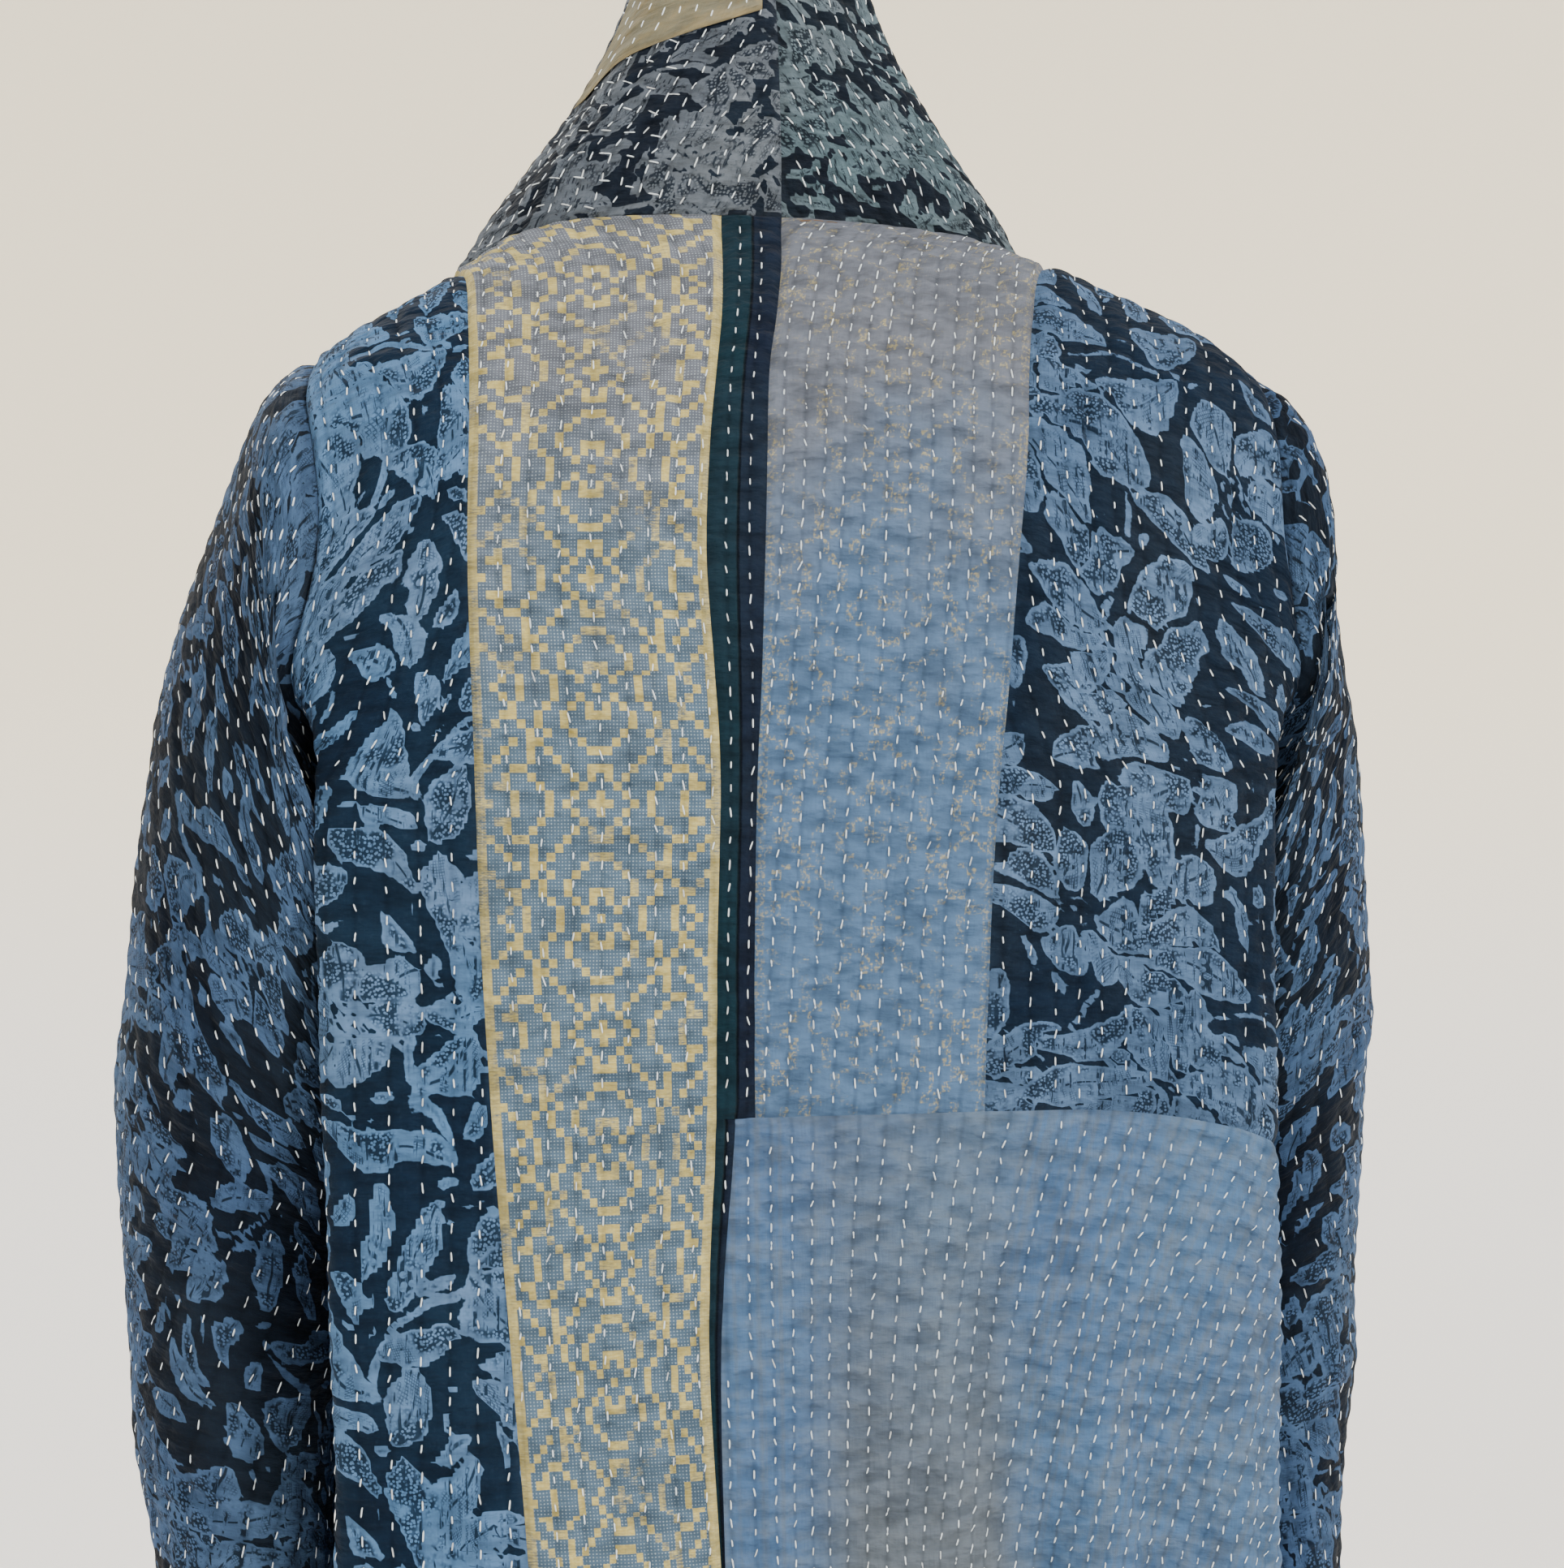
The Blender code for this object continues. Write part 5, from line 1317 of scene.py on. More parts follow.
def out_from(x, y, heading, reach):
    """A leaf's middle and its turn, where it heads out from a point."""
    return x + math.cos(heading) * reach, y + math.sin(heading) * reach, math.degrees(heading)


def along_spray(spray, steps):
    """(x, y, heading) at each step of a spray's curling stem, and at its end."""
    x, y, turn = spray["x"], spray["y"], math.radians(spray["turn"])
    places = [(x, y, turn)]
    for _ in range(steps):
        x += math.cos(turn) * spray["reach"] / steps
        y += math.sin(turn) * spray["reach"] / steps
        turn += math.radians(spray["curl"]) / steps
        places.append((x, y, turn))
    return places


def spray_leaves():
    """Every leaf and petal of the tile's sprays."""
    leaves = []
    for spray in named(SPRAY_COLUMNS, SPRAYS):
        *stem, (end_x, end_y, end_turn) = along_spray(spray, spray["leaves"])
        for step, (x, y, turn) in enumerate(stem):
            side = 1 if step % 2 else -1
            size = spray["size"] * (1 - LEAF_TAPER * ((step + 1) / (spray["leaves"] + 1)))
            middle = out_from(x, y, turn + math.radians(LEAF_LEAN) * side, size * LEAF_REACH)
            leaves.append((*middle, size, size * spray["breadth"], side * size * LEAF_BEND, *LEAF_SHAPE))
        for petal in range(spray["petals"]):
            spread = PETAL_SPREAD * (petal - (spray["petals"] - 1) / 2)
            size = spray["size"] * PETAL_SIZE
            middle = out_from(end_x, end_y, end_turn + math.radians(spread), size / 2)
            leaves.append((*middle, size, size * PETAL_BREADTH, 0.0, *PETAL_SHAPE))
    return leaves


def stem_field(across, up):
    """How far inside a stem each point is."""
    inside = np.full(across.shape, -1.0)
    for spray in named(SPRAY_COLUMNS, SPRAYS):
        for x, y, turn in along_spray(spray, STEM_STEPS)[:-1]:
            dx, dy = wrapped(across, up, x, y)
            along = np.clip(dx * math.cos(turn) + dy * math.sin(turn), 0.0, spray["reach"] / STEM_STEPS)
            near = np.hypot(dx - along * math.cos(turn), dy - along * math.sin(turn))
            inside = np.maximum(inside, STEM_HALF - near)
    return inside


def lay(tile, inside, along, aside):
    """Prints one form over the tile, with a line of ground left round it."""
    covered = (inside > -LEAF_GAP)[..., None]
    return np.where(covered, np.stack([inside, along, aside], axis=-1), tile)


def rose_leaves(rose):
    """The petals of an open flower, seen from above."""
    leaves = []
    for petal in range(rose["petals"]):
        heading = math.radians(rose["turn"] + 360 * petal / rose["petals"])
        middle = out_from(rose["x"], rose["y"], heading, (rose["heart"] + rose["radius"]) / 2)
        length, width = rose["radius"] - rose["heart"] / 2, rose["radius"] * rose["breadth"]
        leaves.append((*middle, length, width, 0.0, *ROSE_SHAPE))
    return leaves


def make_tile():
    """The printed tile as a grid: inside distance, and place along and across the leaf found there."""
    across, up = np.meshgrid(np.arange(0, TILE_WIDTH, TILE_STEP), np.arange(0, TILE_HEIGHT, TILE_STEP))
    stems = stem_field(across, up)
    tile = np.stack([stems, 0 * stems, 0 * stems], axis=-1)
    for leaf in spray_leaves():
        tile = lay(tile, *leaf_field(across, up, leaf))
    for rose in named(ROSE_COLUMNS, ROSES):
        for leaf in rose_leaves(rose):
            tile = lay(tile, *leaf_field(across, up, leaf))
        near = np.hypot(*wrapped(across, up, rose["x"], rose["y"]))
        tile = lay(tile, rose["heart"] - near, near, 0 * near)
        for hole in range(ROSE_HOLES):
            x, y, _ = out_from(rose["x"], rose["y"], 2 * math.pi * hole / ROSE_HOLES, rose["heart"] / 2)
            tile[..., 0] = np.minimum(tile[..., 0], np.hypot(*wrapped(across, up, x, y)) - ROSE_HOLE)
    return fill_ground(tile, across, up)


def fill_ground(tile, across, up):
    """Small leaves and dots in the ground that is left, each where it has room, larger ones first."""
    random = np.random.default_rng(FILL_SEED)
    rows, columns = tile.shape[:2]
    share = np.linspace(-0.5, 0.5, FILL_PROBES)
    way = np.array([[-1], [0], [1]])
    for longest in np.repeat(FILL_LENGTHS, FILL_TRIES // len(FILL_LENGTHS)):
        x, y = random.random() * TILE_WIDTH, random.random() * TILE_HEIGHT
        turn = random.random() * 2 * math.pi
        length = longest * random.uniform(*FILL_SHARES)
        width = length * random.uniform(*FILL_BREADTHS)
        bend = length * random.uniform(*FILL_BENDS)
        leaf = (x, y, math.degrees(turn), length, width, bend, random.uniform(*FILL_HEAVIES), FILL_FULL)
        edge = np.sin(np.pi * (share + 0.5)) * width / 2
        probe_x = x + math.cos(turn) * share * length - math.sin(turn) * edge * way
        probe_y = y + math.sin(turn) * share * length + math.cos(turn) * edge * way
        row, column = (probe_y / TILE_STEP).astype(int) % rows, (probe_x / TILE_STEP).astype(int) % columns
        if tile[row, column, 0].max() < -FILL_CLEAR:
            tile = lay(tile, *leaf_field(across, up, leaf))
    return tile


def print_field(on_cloth, shift_u, shift_v, turn, scale):
    """The tile read at every point of a piece, shifted, turned and scaled as that piece was cut."""
    angle = math.radians(turn)
    u = (on_cloth[:, 0] * math.cos(angle) + on_cloth[:, 1] * math.sin(angle)) / scale + shift_u
    v = (on_cloth[:, 1] * math.cos(angle) - on_cloth[:, 0] * math.sin(angle)) / scale + shift_v
    bend_u, bend_v = 0, 0
    for across, up, size, start in PRINT_WAVES:
        phase = 2 * np.pi * (across * u / TILE_WIDTH + up * v / TILE_HEIGHT) + start
        bend_u = bend_u + size * np.sin(phase)
        bend_v = bend_v + size * np.cos(phase)
    row = np.mod(v + bend_v, TILE_HEIGHT) / TILE_STEP
    column = np.mod(u + bend_u, TILE_WIDTH) / TILE_STEP
    return sample(np.pad(TILE, ((0, 2), (0, 2), (0, 0)), mode="wrap"), row, column) * scale


class Value:
    """A number, vector or colour that changes over the cloth, as a shader node puts it out."""

    def __init__(self, tree, socket):
        self.tree = tree
        self.socket = socket

    def math(self, operation, *others):
        """This value and the others put through one operation."""
        return output_of(self.tree, "ShaderNodeMath", dict(enumerate((self, *others))), operation=operation)

    def __add__(self, other):
        return self.math("ADD", other)

    def __sub__(self, other):
        return self.math("SUBTRACT", other)

    def __rsub__(self, other):
        return output_of(self.tree, "ShaderNodeMath", {0: other, 1: self}, operation="SUBTRACT")

    def __mul__(self, other):
        return self.math("MULTIPLY", other)

    def sine(self):
        return self.math("SINE")

    def unsigned(self):
        return self.math("ABSOLUTE")

    def at_least(self, other):
        return self.math("MAXIMUM", other)

    def ramp(self, low, high, from_value=0.0, to_value=1.0):
        """Taken smoothly from low and high to a new range, and kept inside it."""
        inputs = {"Value": self, "From Min": low, "From Max": high, "To Min": from_value, "To Max": to_value}
        return output_of(self.tree, "ShaderNodeMapRange", inputs, "Result", interpolation_type="SMOOTHSTEP")

    def ranged(self, name):
        """Taken to its new range by one of the named steps."""
        return self.ramp(*RANGES[name])

    def blend(self, first, second):
        """The first colour where this is 0, and the second where it is 1."""
        return output_of(self.tree, "ShaderNodeMix", {0: self, 6: first, 7: second}, 2, data_type="RGBA")

    def scaled(self, stretch):
        return output_of(self.tree, "ShaderNodeVectorMath", {0: self, 1: stretch}, operation="MULTIPLY")

    def pattern(self, name):
        """One of the named noises at this place."""
        stretch, detail, roughness = NOISES[name]
        inputs = {"Vector": self.scaled(stretch), "Scale": 1.0, "Detail": detail, "Roughness": roughness}
        return output_of(self.tree, "ShaderNodeTexNoise", inputs, "Fac")

    def spots(self, scale):
        """Distance from scattered spots, as a share of the gap between them."""
        inputs = {"Vector": self.scaled((scale, scale, 0.0)), "Scale": 1.0, "Randomness": SPOT_SCATTER}
        return output_of(self.tree, "ShaderNodeTexVoronoi", inputs, "Distance", voronoi_dimensions="2D")

    def parts(self):
        """Its three parts, each as a value of its own."""
        node = add_node(self.tree, "ShaderNodeSeparateXYZ", {0: self})
        return [Value(self.tree, socket) for socket in node.outputs]


def set_input(tree, socket, value):
    """Links a value to a socket, or sets the socket to a plain number, vector or colour."""
    if isinstance(value, Value):
        tree.links.new(value.socket, socket)
    else:
        socket.default_value = value


def add_node(tree, kind, inputs, **settings):
    """A shader node with its settings made and its named or numbered inputs set or linked."""
    node = tree.nodes.new(kind)
    for name, value in settings.items():
        setattr(node, name, value)
    for name, value in inputs.items():
        set_input(tree, node.inputs[name], value)
    return node


def output_of(tree, kind, inputs, output=0, **settings):
    """A new node's output, named or numbered."""
    return Value(tree, add_node(tree, kind, inputs, **settings).outputs[output])


def attribute(tree, name, output="Vector"):
    """What the mesh keeps under a name."""
    return output_of(tree, "ShaderNodeAttribute", {}, output, attribute_name=name)


def object_place(tree):
    """The place of each point in metres, in its object's own frame."""
    return output_of(tree, "ShaderNodeTexCoord", {}, "Object")


def new_group(name, vectors, values):
    """A node group from named vectors to named values: the group, its vectors and its output node."""
    group = bpy.data.node_groups.new(name, "ShaderNodeTree")
    for socket in vectors:
        group.interface.new_socket(name=socket, in_out="INPUT", socket_type="NodeSocketVector")
    for socket in values:
        group.interface.new_socket(name=socket, in_out="OUTPUT", socket_type="NodeSocketFloat")
    start, end = group.nodes.new("NodeGroupInput"), group.nodes.new("NodeGroupOutput")
    return group, [Value(group, start.outputs[socket]) for socket in vectors], end


def make_weave_group():
    """Plain cotton weave: threads over and under, with thicker ones here and there."""
    group, (place,), end = new_group("Weave", ("Place",), ("Height",))
    u, v, _ = place.parts()
    drift = place.pattern("thread_drift") * WEAVE_DRIFT
    warp = ((u + drift) * WEAVE_TURNS).sine()
    weft = ((v + drift) * WEAVE_TURNS).sine()
    slubs = place.pattern("warp_slubs") + place.pattern("weft_slubs")
    height = warp * weft * CROSSING_HEIGHT + slubs
    set_input(group, end.inputs["Height"], height * WEAVE_LEVEL)
    return group


def make_pucker_group():
    """Fine wrinkles that run across the rows of stitches, and a mask of the pulled-down rows."""
    group, (place,), end = new_group("Puckers", ("Place",), ("Height", "Row"))
    _, _, row = place.parts()
    sunk = (row * math.pi).sine().unsigned()
    height = place.pattern("wrinkles") + place.pattern("fine_wrinkles") * FINE_WRINKLES
    set_input(group, end.inputs["Height"], height)
    set_input(group, end.inputs["Row"], sunk.ranged("sunk_row"))
    return group


def make_wear_group():
    """How washed out and rubbed the cloth is from place to place."""
    group, (place, edge), end = new_group("Wear", ("Place", "Edge"), ("Faded", "Rubbed"))
    _, _, from_edge = edge.parts()
    rubbed = place.pattern("rubbing").ranged("rubbed") + from_edge.ranged("rubbed_edge")
    set_input(group, end.inputs["Faded"], place.pattern("fading").ranged("faded"))
    set_input(group, end.inputs["Rubbed"], rubbed)
    return group


class ClothNodes:
    """The nodes every cloth shares: where a point is on its piece, and the shared effects there."""

    def __init__(self, name):
        self.material = bpy.data.materials.new("cotton_" + name)
        self.material.use_nodes = True
        self.tree = self.material.node_tree
        self.place = attribute(self.tree, "on_cloth")
        self.edge = attribute(self.tree, "to_edge")
        (self.weave,) = self.effect("weave", Place=self.place)
        self.pucker, self.row = self.effect("pucker", Place=self.place)
        self.faded, self.rubbed = self.effect("wear", Place=self.place, Edge=self.edge)

    def effect(self, name, **inputs):
        """Everything that one of the shared effects puts out."""
        node = add_node(self.tree, "ShaderNodeGroup", {}, node_tree=GROUPS[name])
        for socket, value in inputs.items():
            set_input(self.tree, node.inputs[socket], value)
        return [Value(self.tree, socket) for socket in node.outputs]

    def finish(self, colour, extra_height=None):
        """Shades the sunk rows and the weave, and sets the shader."""
        colour = (self.row * ROW_SHADE).blend(colour, BLACK)
        light = self.weave.ranged("weave_light") * self.pucker.ranged("trough_light")
        lit = output_of(self.tree, "ShaderNodeVectorMath", {0: colour, "Scale": light}, operation="SCALE")
        height = self.pucker.math("MULTIPLY_ADD", PUCKER_HEIGHT, self.weave * WEAVE_HEIGHT)
        if extra_height is not None:
            height = height + extra_height
        set_shader(self.tree, lit, height, 1.0, 1.0, CLOTH_SHADER)
        return self.material


def set_shader(tree, colour, height, strength, distance, settings):
    """Links a colour and a bump to a material's shader, and sets what is the same all over."""
    inputs = tree.nodes["Principled BSDF"].inputs
    bump = output_of(tree, "ShaderNodeBump", {"Height": height, "Strength": strength, "Distance": distance})
    set_input(tree, inputs["Base Color"], colour)
    set_input(tree, inputs["Normal"], bump)
    for name, value in settings.items():
        inputs[name].default_value = value


def printed_cloth(name, ground, faded_ground, light, faded_light, thinned=0.0):
    """Cotton printed with the tile's leaves, their insides stippled and hatched, worn and washed."""
    cloth = ClothNodes(name)
    inside, along, aside = attribute(cloth.tree, "motif").parts()
    ragged = cloth.place.pattern("ragged_edge")
    inside = inside + ragged.math("MULTIPLY_ADD", RAGGED_DEPTH, -RAGGED_DEPTH / 2 - thinned)
    region, other_region = cloth.place.pattern("region"), cloth.place.pattern("other_region")
    stipple = cloth.place.spots(STIPPLE_SCALE).ranged("stipple") * region.ranged("stippled")
    blots = cloth.place.spots(BLOT_SCALE).ranged("blots") * other_region.ranged("blotted")
    lines = (along * HATCH_TURNS).sine().at_least((aside * HATCH_TURNS).sine())
    hatch = lines.ranged("hatch") * region.ranged("hatched") * other_region.ranged("hatched_too")
    vein = aside.unsigned().ranged("vein") * other_region.ranged("veined")
    marks = stipple.at_least(hatch * HATCH_STRENGTH).at_least(vein.at_least(blots))
    marks = marks * (inside.ranged("deep_inside") * MARK_STRENGTH)
    shown = inside.ranged("printed") * (1.0 - marks)
    colour = shown.blend(cloth.faded.blend(ground, faded_ground), cloth.faded.blend(light, faded_light))
    return cloth.finish((cloth.rubbed * PRINT_RUBBING).blend(colour, faded_light))


def woven_border(name, length, ground, top_ground, gold, second_gold, strength, worn, flecked):
    """Cloth with the charted repeat in gold threads, rubbed through in places to flecks."""
    cloth = ClothNodes(name)
    marked = attribute(cloth.tree, "gold", "Fac")
    threads = cloth.place.pattern("gold_threads")
    flecks = cloth.place.pattern("flecks").ranged("flecks")
    u, v, _ = cloth.place.parts()
    left, right, _ = cloth.edge.parts()
    line = left.ranged("left_line").at_least(right.ranged("right_line"))
    kept = threads.math("MULTIPLY_ADD", THREAD_WEAR, cloth.place.pattern("worn_patches"))
    shown = marked.at_least(line * LINE_STRENGTH) * kept.ramp(worn, worn + WORN_OVER)
    shown = shown * flecks.math("MULTIPLY_ADD", flecked, 1.0 - flecked) * strength
    down = cloth.faded.math("MULTIPLY_ADD", TOP_UNEVEN, length - v)
    back = down.ranged("top_ground").blend(ground, top_ground)
    dots = ((u + v) * SPECK_TURNS).sine() * ((u - v) * SPECK_TURNS).sine()
    specks = dots.ranged("specks") * threads.ranged("speck_strength") * (1.0 - flecked)
    front = threads.ranged("second_gold").blend(gold, second_gold)
    colour = shown.blend(specks.blend(back, SPECK_COLOUR), front)
    return cloth.finish(colour, shown * GOLD_HEIGHT)


def plain_cloth(name, colour, faded, rubbed_colour, rub=PLAIN_RUBBING, banded=False):
    """Plain dyed cotton, washed and rubbed, or with a broad brown zone and faint bands."""
    cloth = ClothNodes(name)
    mottle = cloth.place.pattern("mottle").ranged("mottle")
    body = mottle.blend(cloth.faded.blend(colour, faded), rubbed_colour)
    if banded:
        u, v, _ = cloth.place.parts()
        across = cloth.place.pattern("brown_drift").math("MULTIPLY_ADD", BROWN_UNEVEN, u)
        zone = across.ranged("brown_from") * across.ranged("brown_to") * v.ranged("brown_below")
        bands = cloth.place.pattern("brown_bands").ranged("brown_bands")
        body = zone.at_least(bands).blend(body, WORN_BROWN)
    return cloth.finish((cloth.rubbed * rub).blend(body, rubbed_colour))


def joined_cloth(name, left_colour, right_colour, faded):
    """Two narrow lengths of dark cotton, joined down the middle of the strip."""
    cloth = ClothNodes(name)
    left, right, _ = cloth.edge.parts()
    aside = left - right
    body = aside.ranged("join").blend(left_colour, right_colour)
    body = (cloth.faded * STRIP_FADING).blend(body, faded)
    seam = aside.unsigned().ranged("join_seam")
    body = (seam * JOIN_SHADE).blend(body, BLACK)
    return cloth.finish(body, seam * -JOIN_DEPTH)


def thread_material(name, pale, dark):
    """Twisted cotton thread, a little different from stitch to stitch."""
    material = bpy.data.materials.new("cotton_" + name)
    material.use_nodes = True
    tree = material.node_tree
    plies = object_place(tree).pattern("plies")
    colour = attribute(tree, "shade", "Fac").ranged("darker_threads").blend(pale, dark)
    colour = plies.ranged("between_plies").blend(colour, dark)
    set_shader(tree, colour, plies, PLY_STRENGTH, PLY_HEIGHT, THREAD_SHADER)
    return material


def make_materials():
    """Every cloth and thread of the coat."""
    made = (
        printed_cloth("floral_left", NAVY, NAVY_SOFT, PRINT_BLUE, PRINT_PALE),
        printed_cloth("floral_right", NAVY, NAVY_GREY, PRINT_GREY, PRINT_PALE, thinned=0.0012),
        # The sleeves' floral in darker colours: painted shade
        printed_cloth("floral_sleeve_shaded", SLEEVE_SHADED_GROUND, NAVY_GREY, SLEEVE_SHADED_PRINT, PRINT_GREY, thinned=0.0006),
        printed_cloth("floral", NAVY, NAVY_GREY, PRINT_BLUE, PRINT_GREY),
        printed_cloth("collar_left", COLLAR_DARK, NAVY_GREY, COLLAR_PURPLE, COLLAR_PALE),
        printed_cloth("collar", COLLAR_DARK, COLLAR_TEAL_DARK, COLLAR_TEAL, COLLAR_PALE),
        woven_border("jacquard", STRIP_LENGTH, BORDER_BLUE, BORDER_PURPLE, GOLD, GOLD_PALE,
                     strength=1.0, worn=0.50, flecked=0.15),
        woven_border("worn", WORN_LENGTH, WORN_BLUE, WORN_PURPLE, GOLD_DULL, GOLD_PALE,
                     strength=0.56, worn=0.58, flecked=1.0),
        plain_cloth("lower", WORN_BLUE, WORN_DEEP, WORN_PALE, banded=True),
        joined_cloth("navy", STRIP_NAVY, STRIP_NAVY_SOFT, STRIP_FADED),
        plain_cloth("olive", OLIVE, OLIVE_PALE, OLIVE_GOLD, rub=0.45),
        plain_cloth("belt", STRIP_NAVY, NAVY_SOFT, NAVY_GREY, rub=0.15),
        plain_cloth("reverse", REVERSE_BLUE, REVERSE_PALE, WORN_PALE),
        thread_material("thread", THREAD_WHITE, THREAD_GREY),
        thread_material("thread_brown", THREAD_BROWN, THREAD_DARK),
    )
    return {material.name.removeprefix("cotton_"): material for material in made}


def panel(start, end, start_level, end_level, columns, seams, fall=False):
    """Points and normals of a panel between two edges that run up the figure."""
    around, level = evenly(start, end, start_level, end_level, columns)
    if fall:
        level = falling(around, level)
    return inset(figure(around, level), seams.split()), figure_normals(around, level)


def cut_and_sew(cloth):
    """Sews a piece's rows of stitches, after calling declare, which keeps nothing."""
    declare(cloth)
    sew(cloth)


def add_back():
    """The seven panels of the back, each between seams that run up the figure."""
    centre, outer = mesh_levels()
    strip_outer, strip_inner, navy_right, floral_inner = (back_seam(name, centre) for name in SEAM_COLUMNS)
    side = side_edge(front=False)
    upper, lower = np.s_[SKIRT_ROWS:], np.s_[: SKIRT_ROWS + 1]
    tail = np.s_[TAIL_END_ROW: SKIRT_ROWS + 1]
    tail_right = tail_seam(centre[tail])

    grid = panel(strip_outer, side, centre, outer, LEFT_COLUMNS, OPEN_HEM)
    cut_and_sew(add_cloth("back_left_floral", "floral", *grid, OPEN_HEM, material="floral_left"))

    add_border(centre)

    grid = panel(tail_right, strip_inner[tail], centre[tail], centre[tail], NAVY_COLUMNS, ALL_SEWN)
    narrow_end = add_cloth("back_navy_tail", "navy", *grid, ALL_SEWN)
    sew(narrow_end)
    grid = panel(navy_right[upper], strip_inner[upper], centre[upper], centre[upper], NAVY_COLUMNS, ALL_SEWN)
    cut_and_sew(add_cloth("back_navy_strip", "navy", *grid, ALL_SEWN))

    grid = panel(floral_inner[upper], navy_right[upper], centre[upper], centre[upper], WORN_COLUMNS, ALL_SEWN)
    cloth = add_cloth("back_right_worn", "worn", *grid, ALL_SEWN)
    chart_cells(cloth, WORN_CELLS)
    cut_and_sew(cloth)
    add_tack(cloth)

    edges = (-side[upper], floral_inner[upper], outer[upper], centre[upper])
    grid = panel(*edges, RIGHT_COLUMNS, ALL_SEWN, fall=True)
    cut_and_sew(add_cloth("back_right_floral", "floral", *grid, ALL_SEWN, material="floral_right"))

    inner = strip_inner[lower].copy()
    inner[tail] = tail_right
    edge = np.full(SKIRT_ROWS + 1, -float(SIDE))
    grid = panel(edge, inner, centre[lower], centre[lower], LOWER_COLUMNS, OPEN_HEM, fall=True)
    cut_and_sew(add_cloth("back_right_lower", "worn", *grid, OPEN_HEM, material="lower"))


def add_border(centre):
    """The border strip, whose mesh follows its woven cells: two faces each way to a cell."""
    path_level = np.linspace(centre[0], centre[-1], FINE_STEPS)
    run = run_along(figure(back_seam("strip_inner", path_level), path_level))
    cells = int(run[-1] / BORDER_CELL)
    level = np.interp(np.linspace(0.0, run[-1], 2 * cells + 1), run, path_level)
    level[-1] = centre[-1]
    start, end = back_seam("strip_inner", level), back_seam("strip_outer", level)
    grid = panel(start, end, level, level, 2 * BORDER_COLUMNS, OPEN_HEM)
    cloth = add_cloth("back_jacquard_strip", "jacquard", *grid, OPEN_HEM)
    chart_cells(cloth, BORDER_COLUMNS)
    cut_and_sew(cloth)


def chart_cells(cloth, cells_across):
    """Marks the faces of the charted cells: a quarter repeat, mirrored both ways."""
    rows, columns = cloth["place"].shape
    chart = np.array([[mark == "#" for mark in line] + BORDER_PLAIN * [False] for line in BORDER_CHART])
    row, column = np.mgrid[: rows - 1, : columns - 1]
    cell_column = (column * cells_across // (columns - 1)) - cells_across // 2
    length = cloth["v"][-1, 0]
    cell_row = np.floor(row * length / (rows - 1) / BORDER_CELL + BORDER_START).astype(int)
    period = 2 * (len(BORDER_CHART) - 1)
    fold = np.abs(np.mod(cell_row, period) - period // 2)
    marked = chart[fold, np.minimum(np.abs(cell_column), len(BORDER_CHART[0]))]
    values = np.zeros(len(cloth["piece"].data.polygons))
    values[: marked.size] = marked.ravel()
    keep(cloth["piece"].data, "gold", values, "FLOAT", "FACE")


def tail_seam(level):
    """The right edge of the navy strip's narrow end, which starts at half of the strip's width."""
    strip_inner = figure(back_seam("strip_inner", level), level)[..., 0]
    navy_right = figure(back_seam("navy_right", level), level)[..., 0]
    start_width = (strip_inner[-1] - navy_right[-1]) / 2
    width = np.linspace(TAIL_END_WIDTH, start_width, len(level))
    return back_around(strip_inner - width, level)


def add_fronts():
    """The two fronts, from the side seams to the bands."""
    centre, outer = (level[::2] for level in mesh_levels())
    seam, _, _ = band_edges(centre)
    side = side_edge(front=True)[::2]
    grid = panel(side, seam, outer, centre, FRONT_COLUMNS, OPEN_HEM)
    cut_and_sew(add_cloth("front_left", "floral", *grid, OPEN_HEM))
    grid = panel(-seam, -side, centre, falling(-side, outer), FRONT_COLUMNS, OPEN_HEM)
    cut_and_sew(add_cloth("front_right", "floral", *grid, OPEN_HEM))


def add_bands():
    """The bands lap across the front: each layer runs from nothing at its seam to full at its free edge."""
    centre = mesh_levels()[0][::2]
    seam, free, free_level = band_edges(centre)
    lapped = smooth_step((LEVEL["top"] - free_level) / (LEVEL["top"] - LEVEL["cap"]))[:, None]
    share = np.linspace(0.0, 1.0, BAND_COLUMNS_ACROSS + 1)[None, :]
    layer = BAND_LAYER * lapped * share
    halves = (
        ("band_left", (seam, free, centre, free_level), "left top", -layer, share),
        ("band_right", (-free, -seam, free_level, centre), "right top", layer[:, ::-1], share[:, ::-1]),
    )
    for name, edges, seams, lap, out in halves:
        points, normals = panel(*edges, BAND_COLUMNS_ACROSS, seams)
        relief = band_relief(points, out)
        cut_and_sew(add_cloth(name, "collar", points, normals, seams, layer=lap, relief=relief))


def band_relief(points, share):
    """The fronts' creases, which fade out across a band before it meets the other one."""
    return body_relief(points) * (1 - smooth_step(share / BAND_CALM))


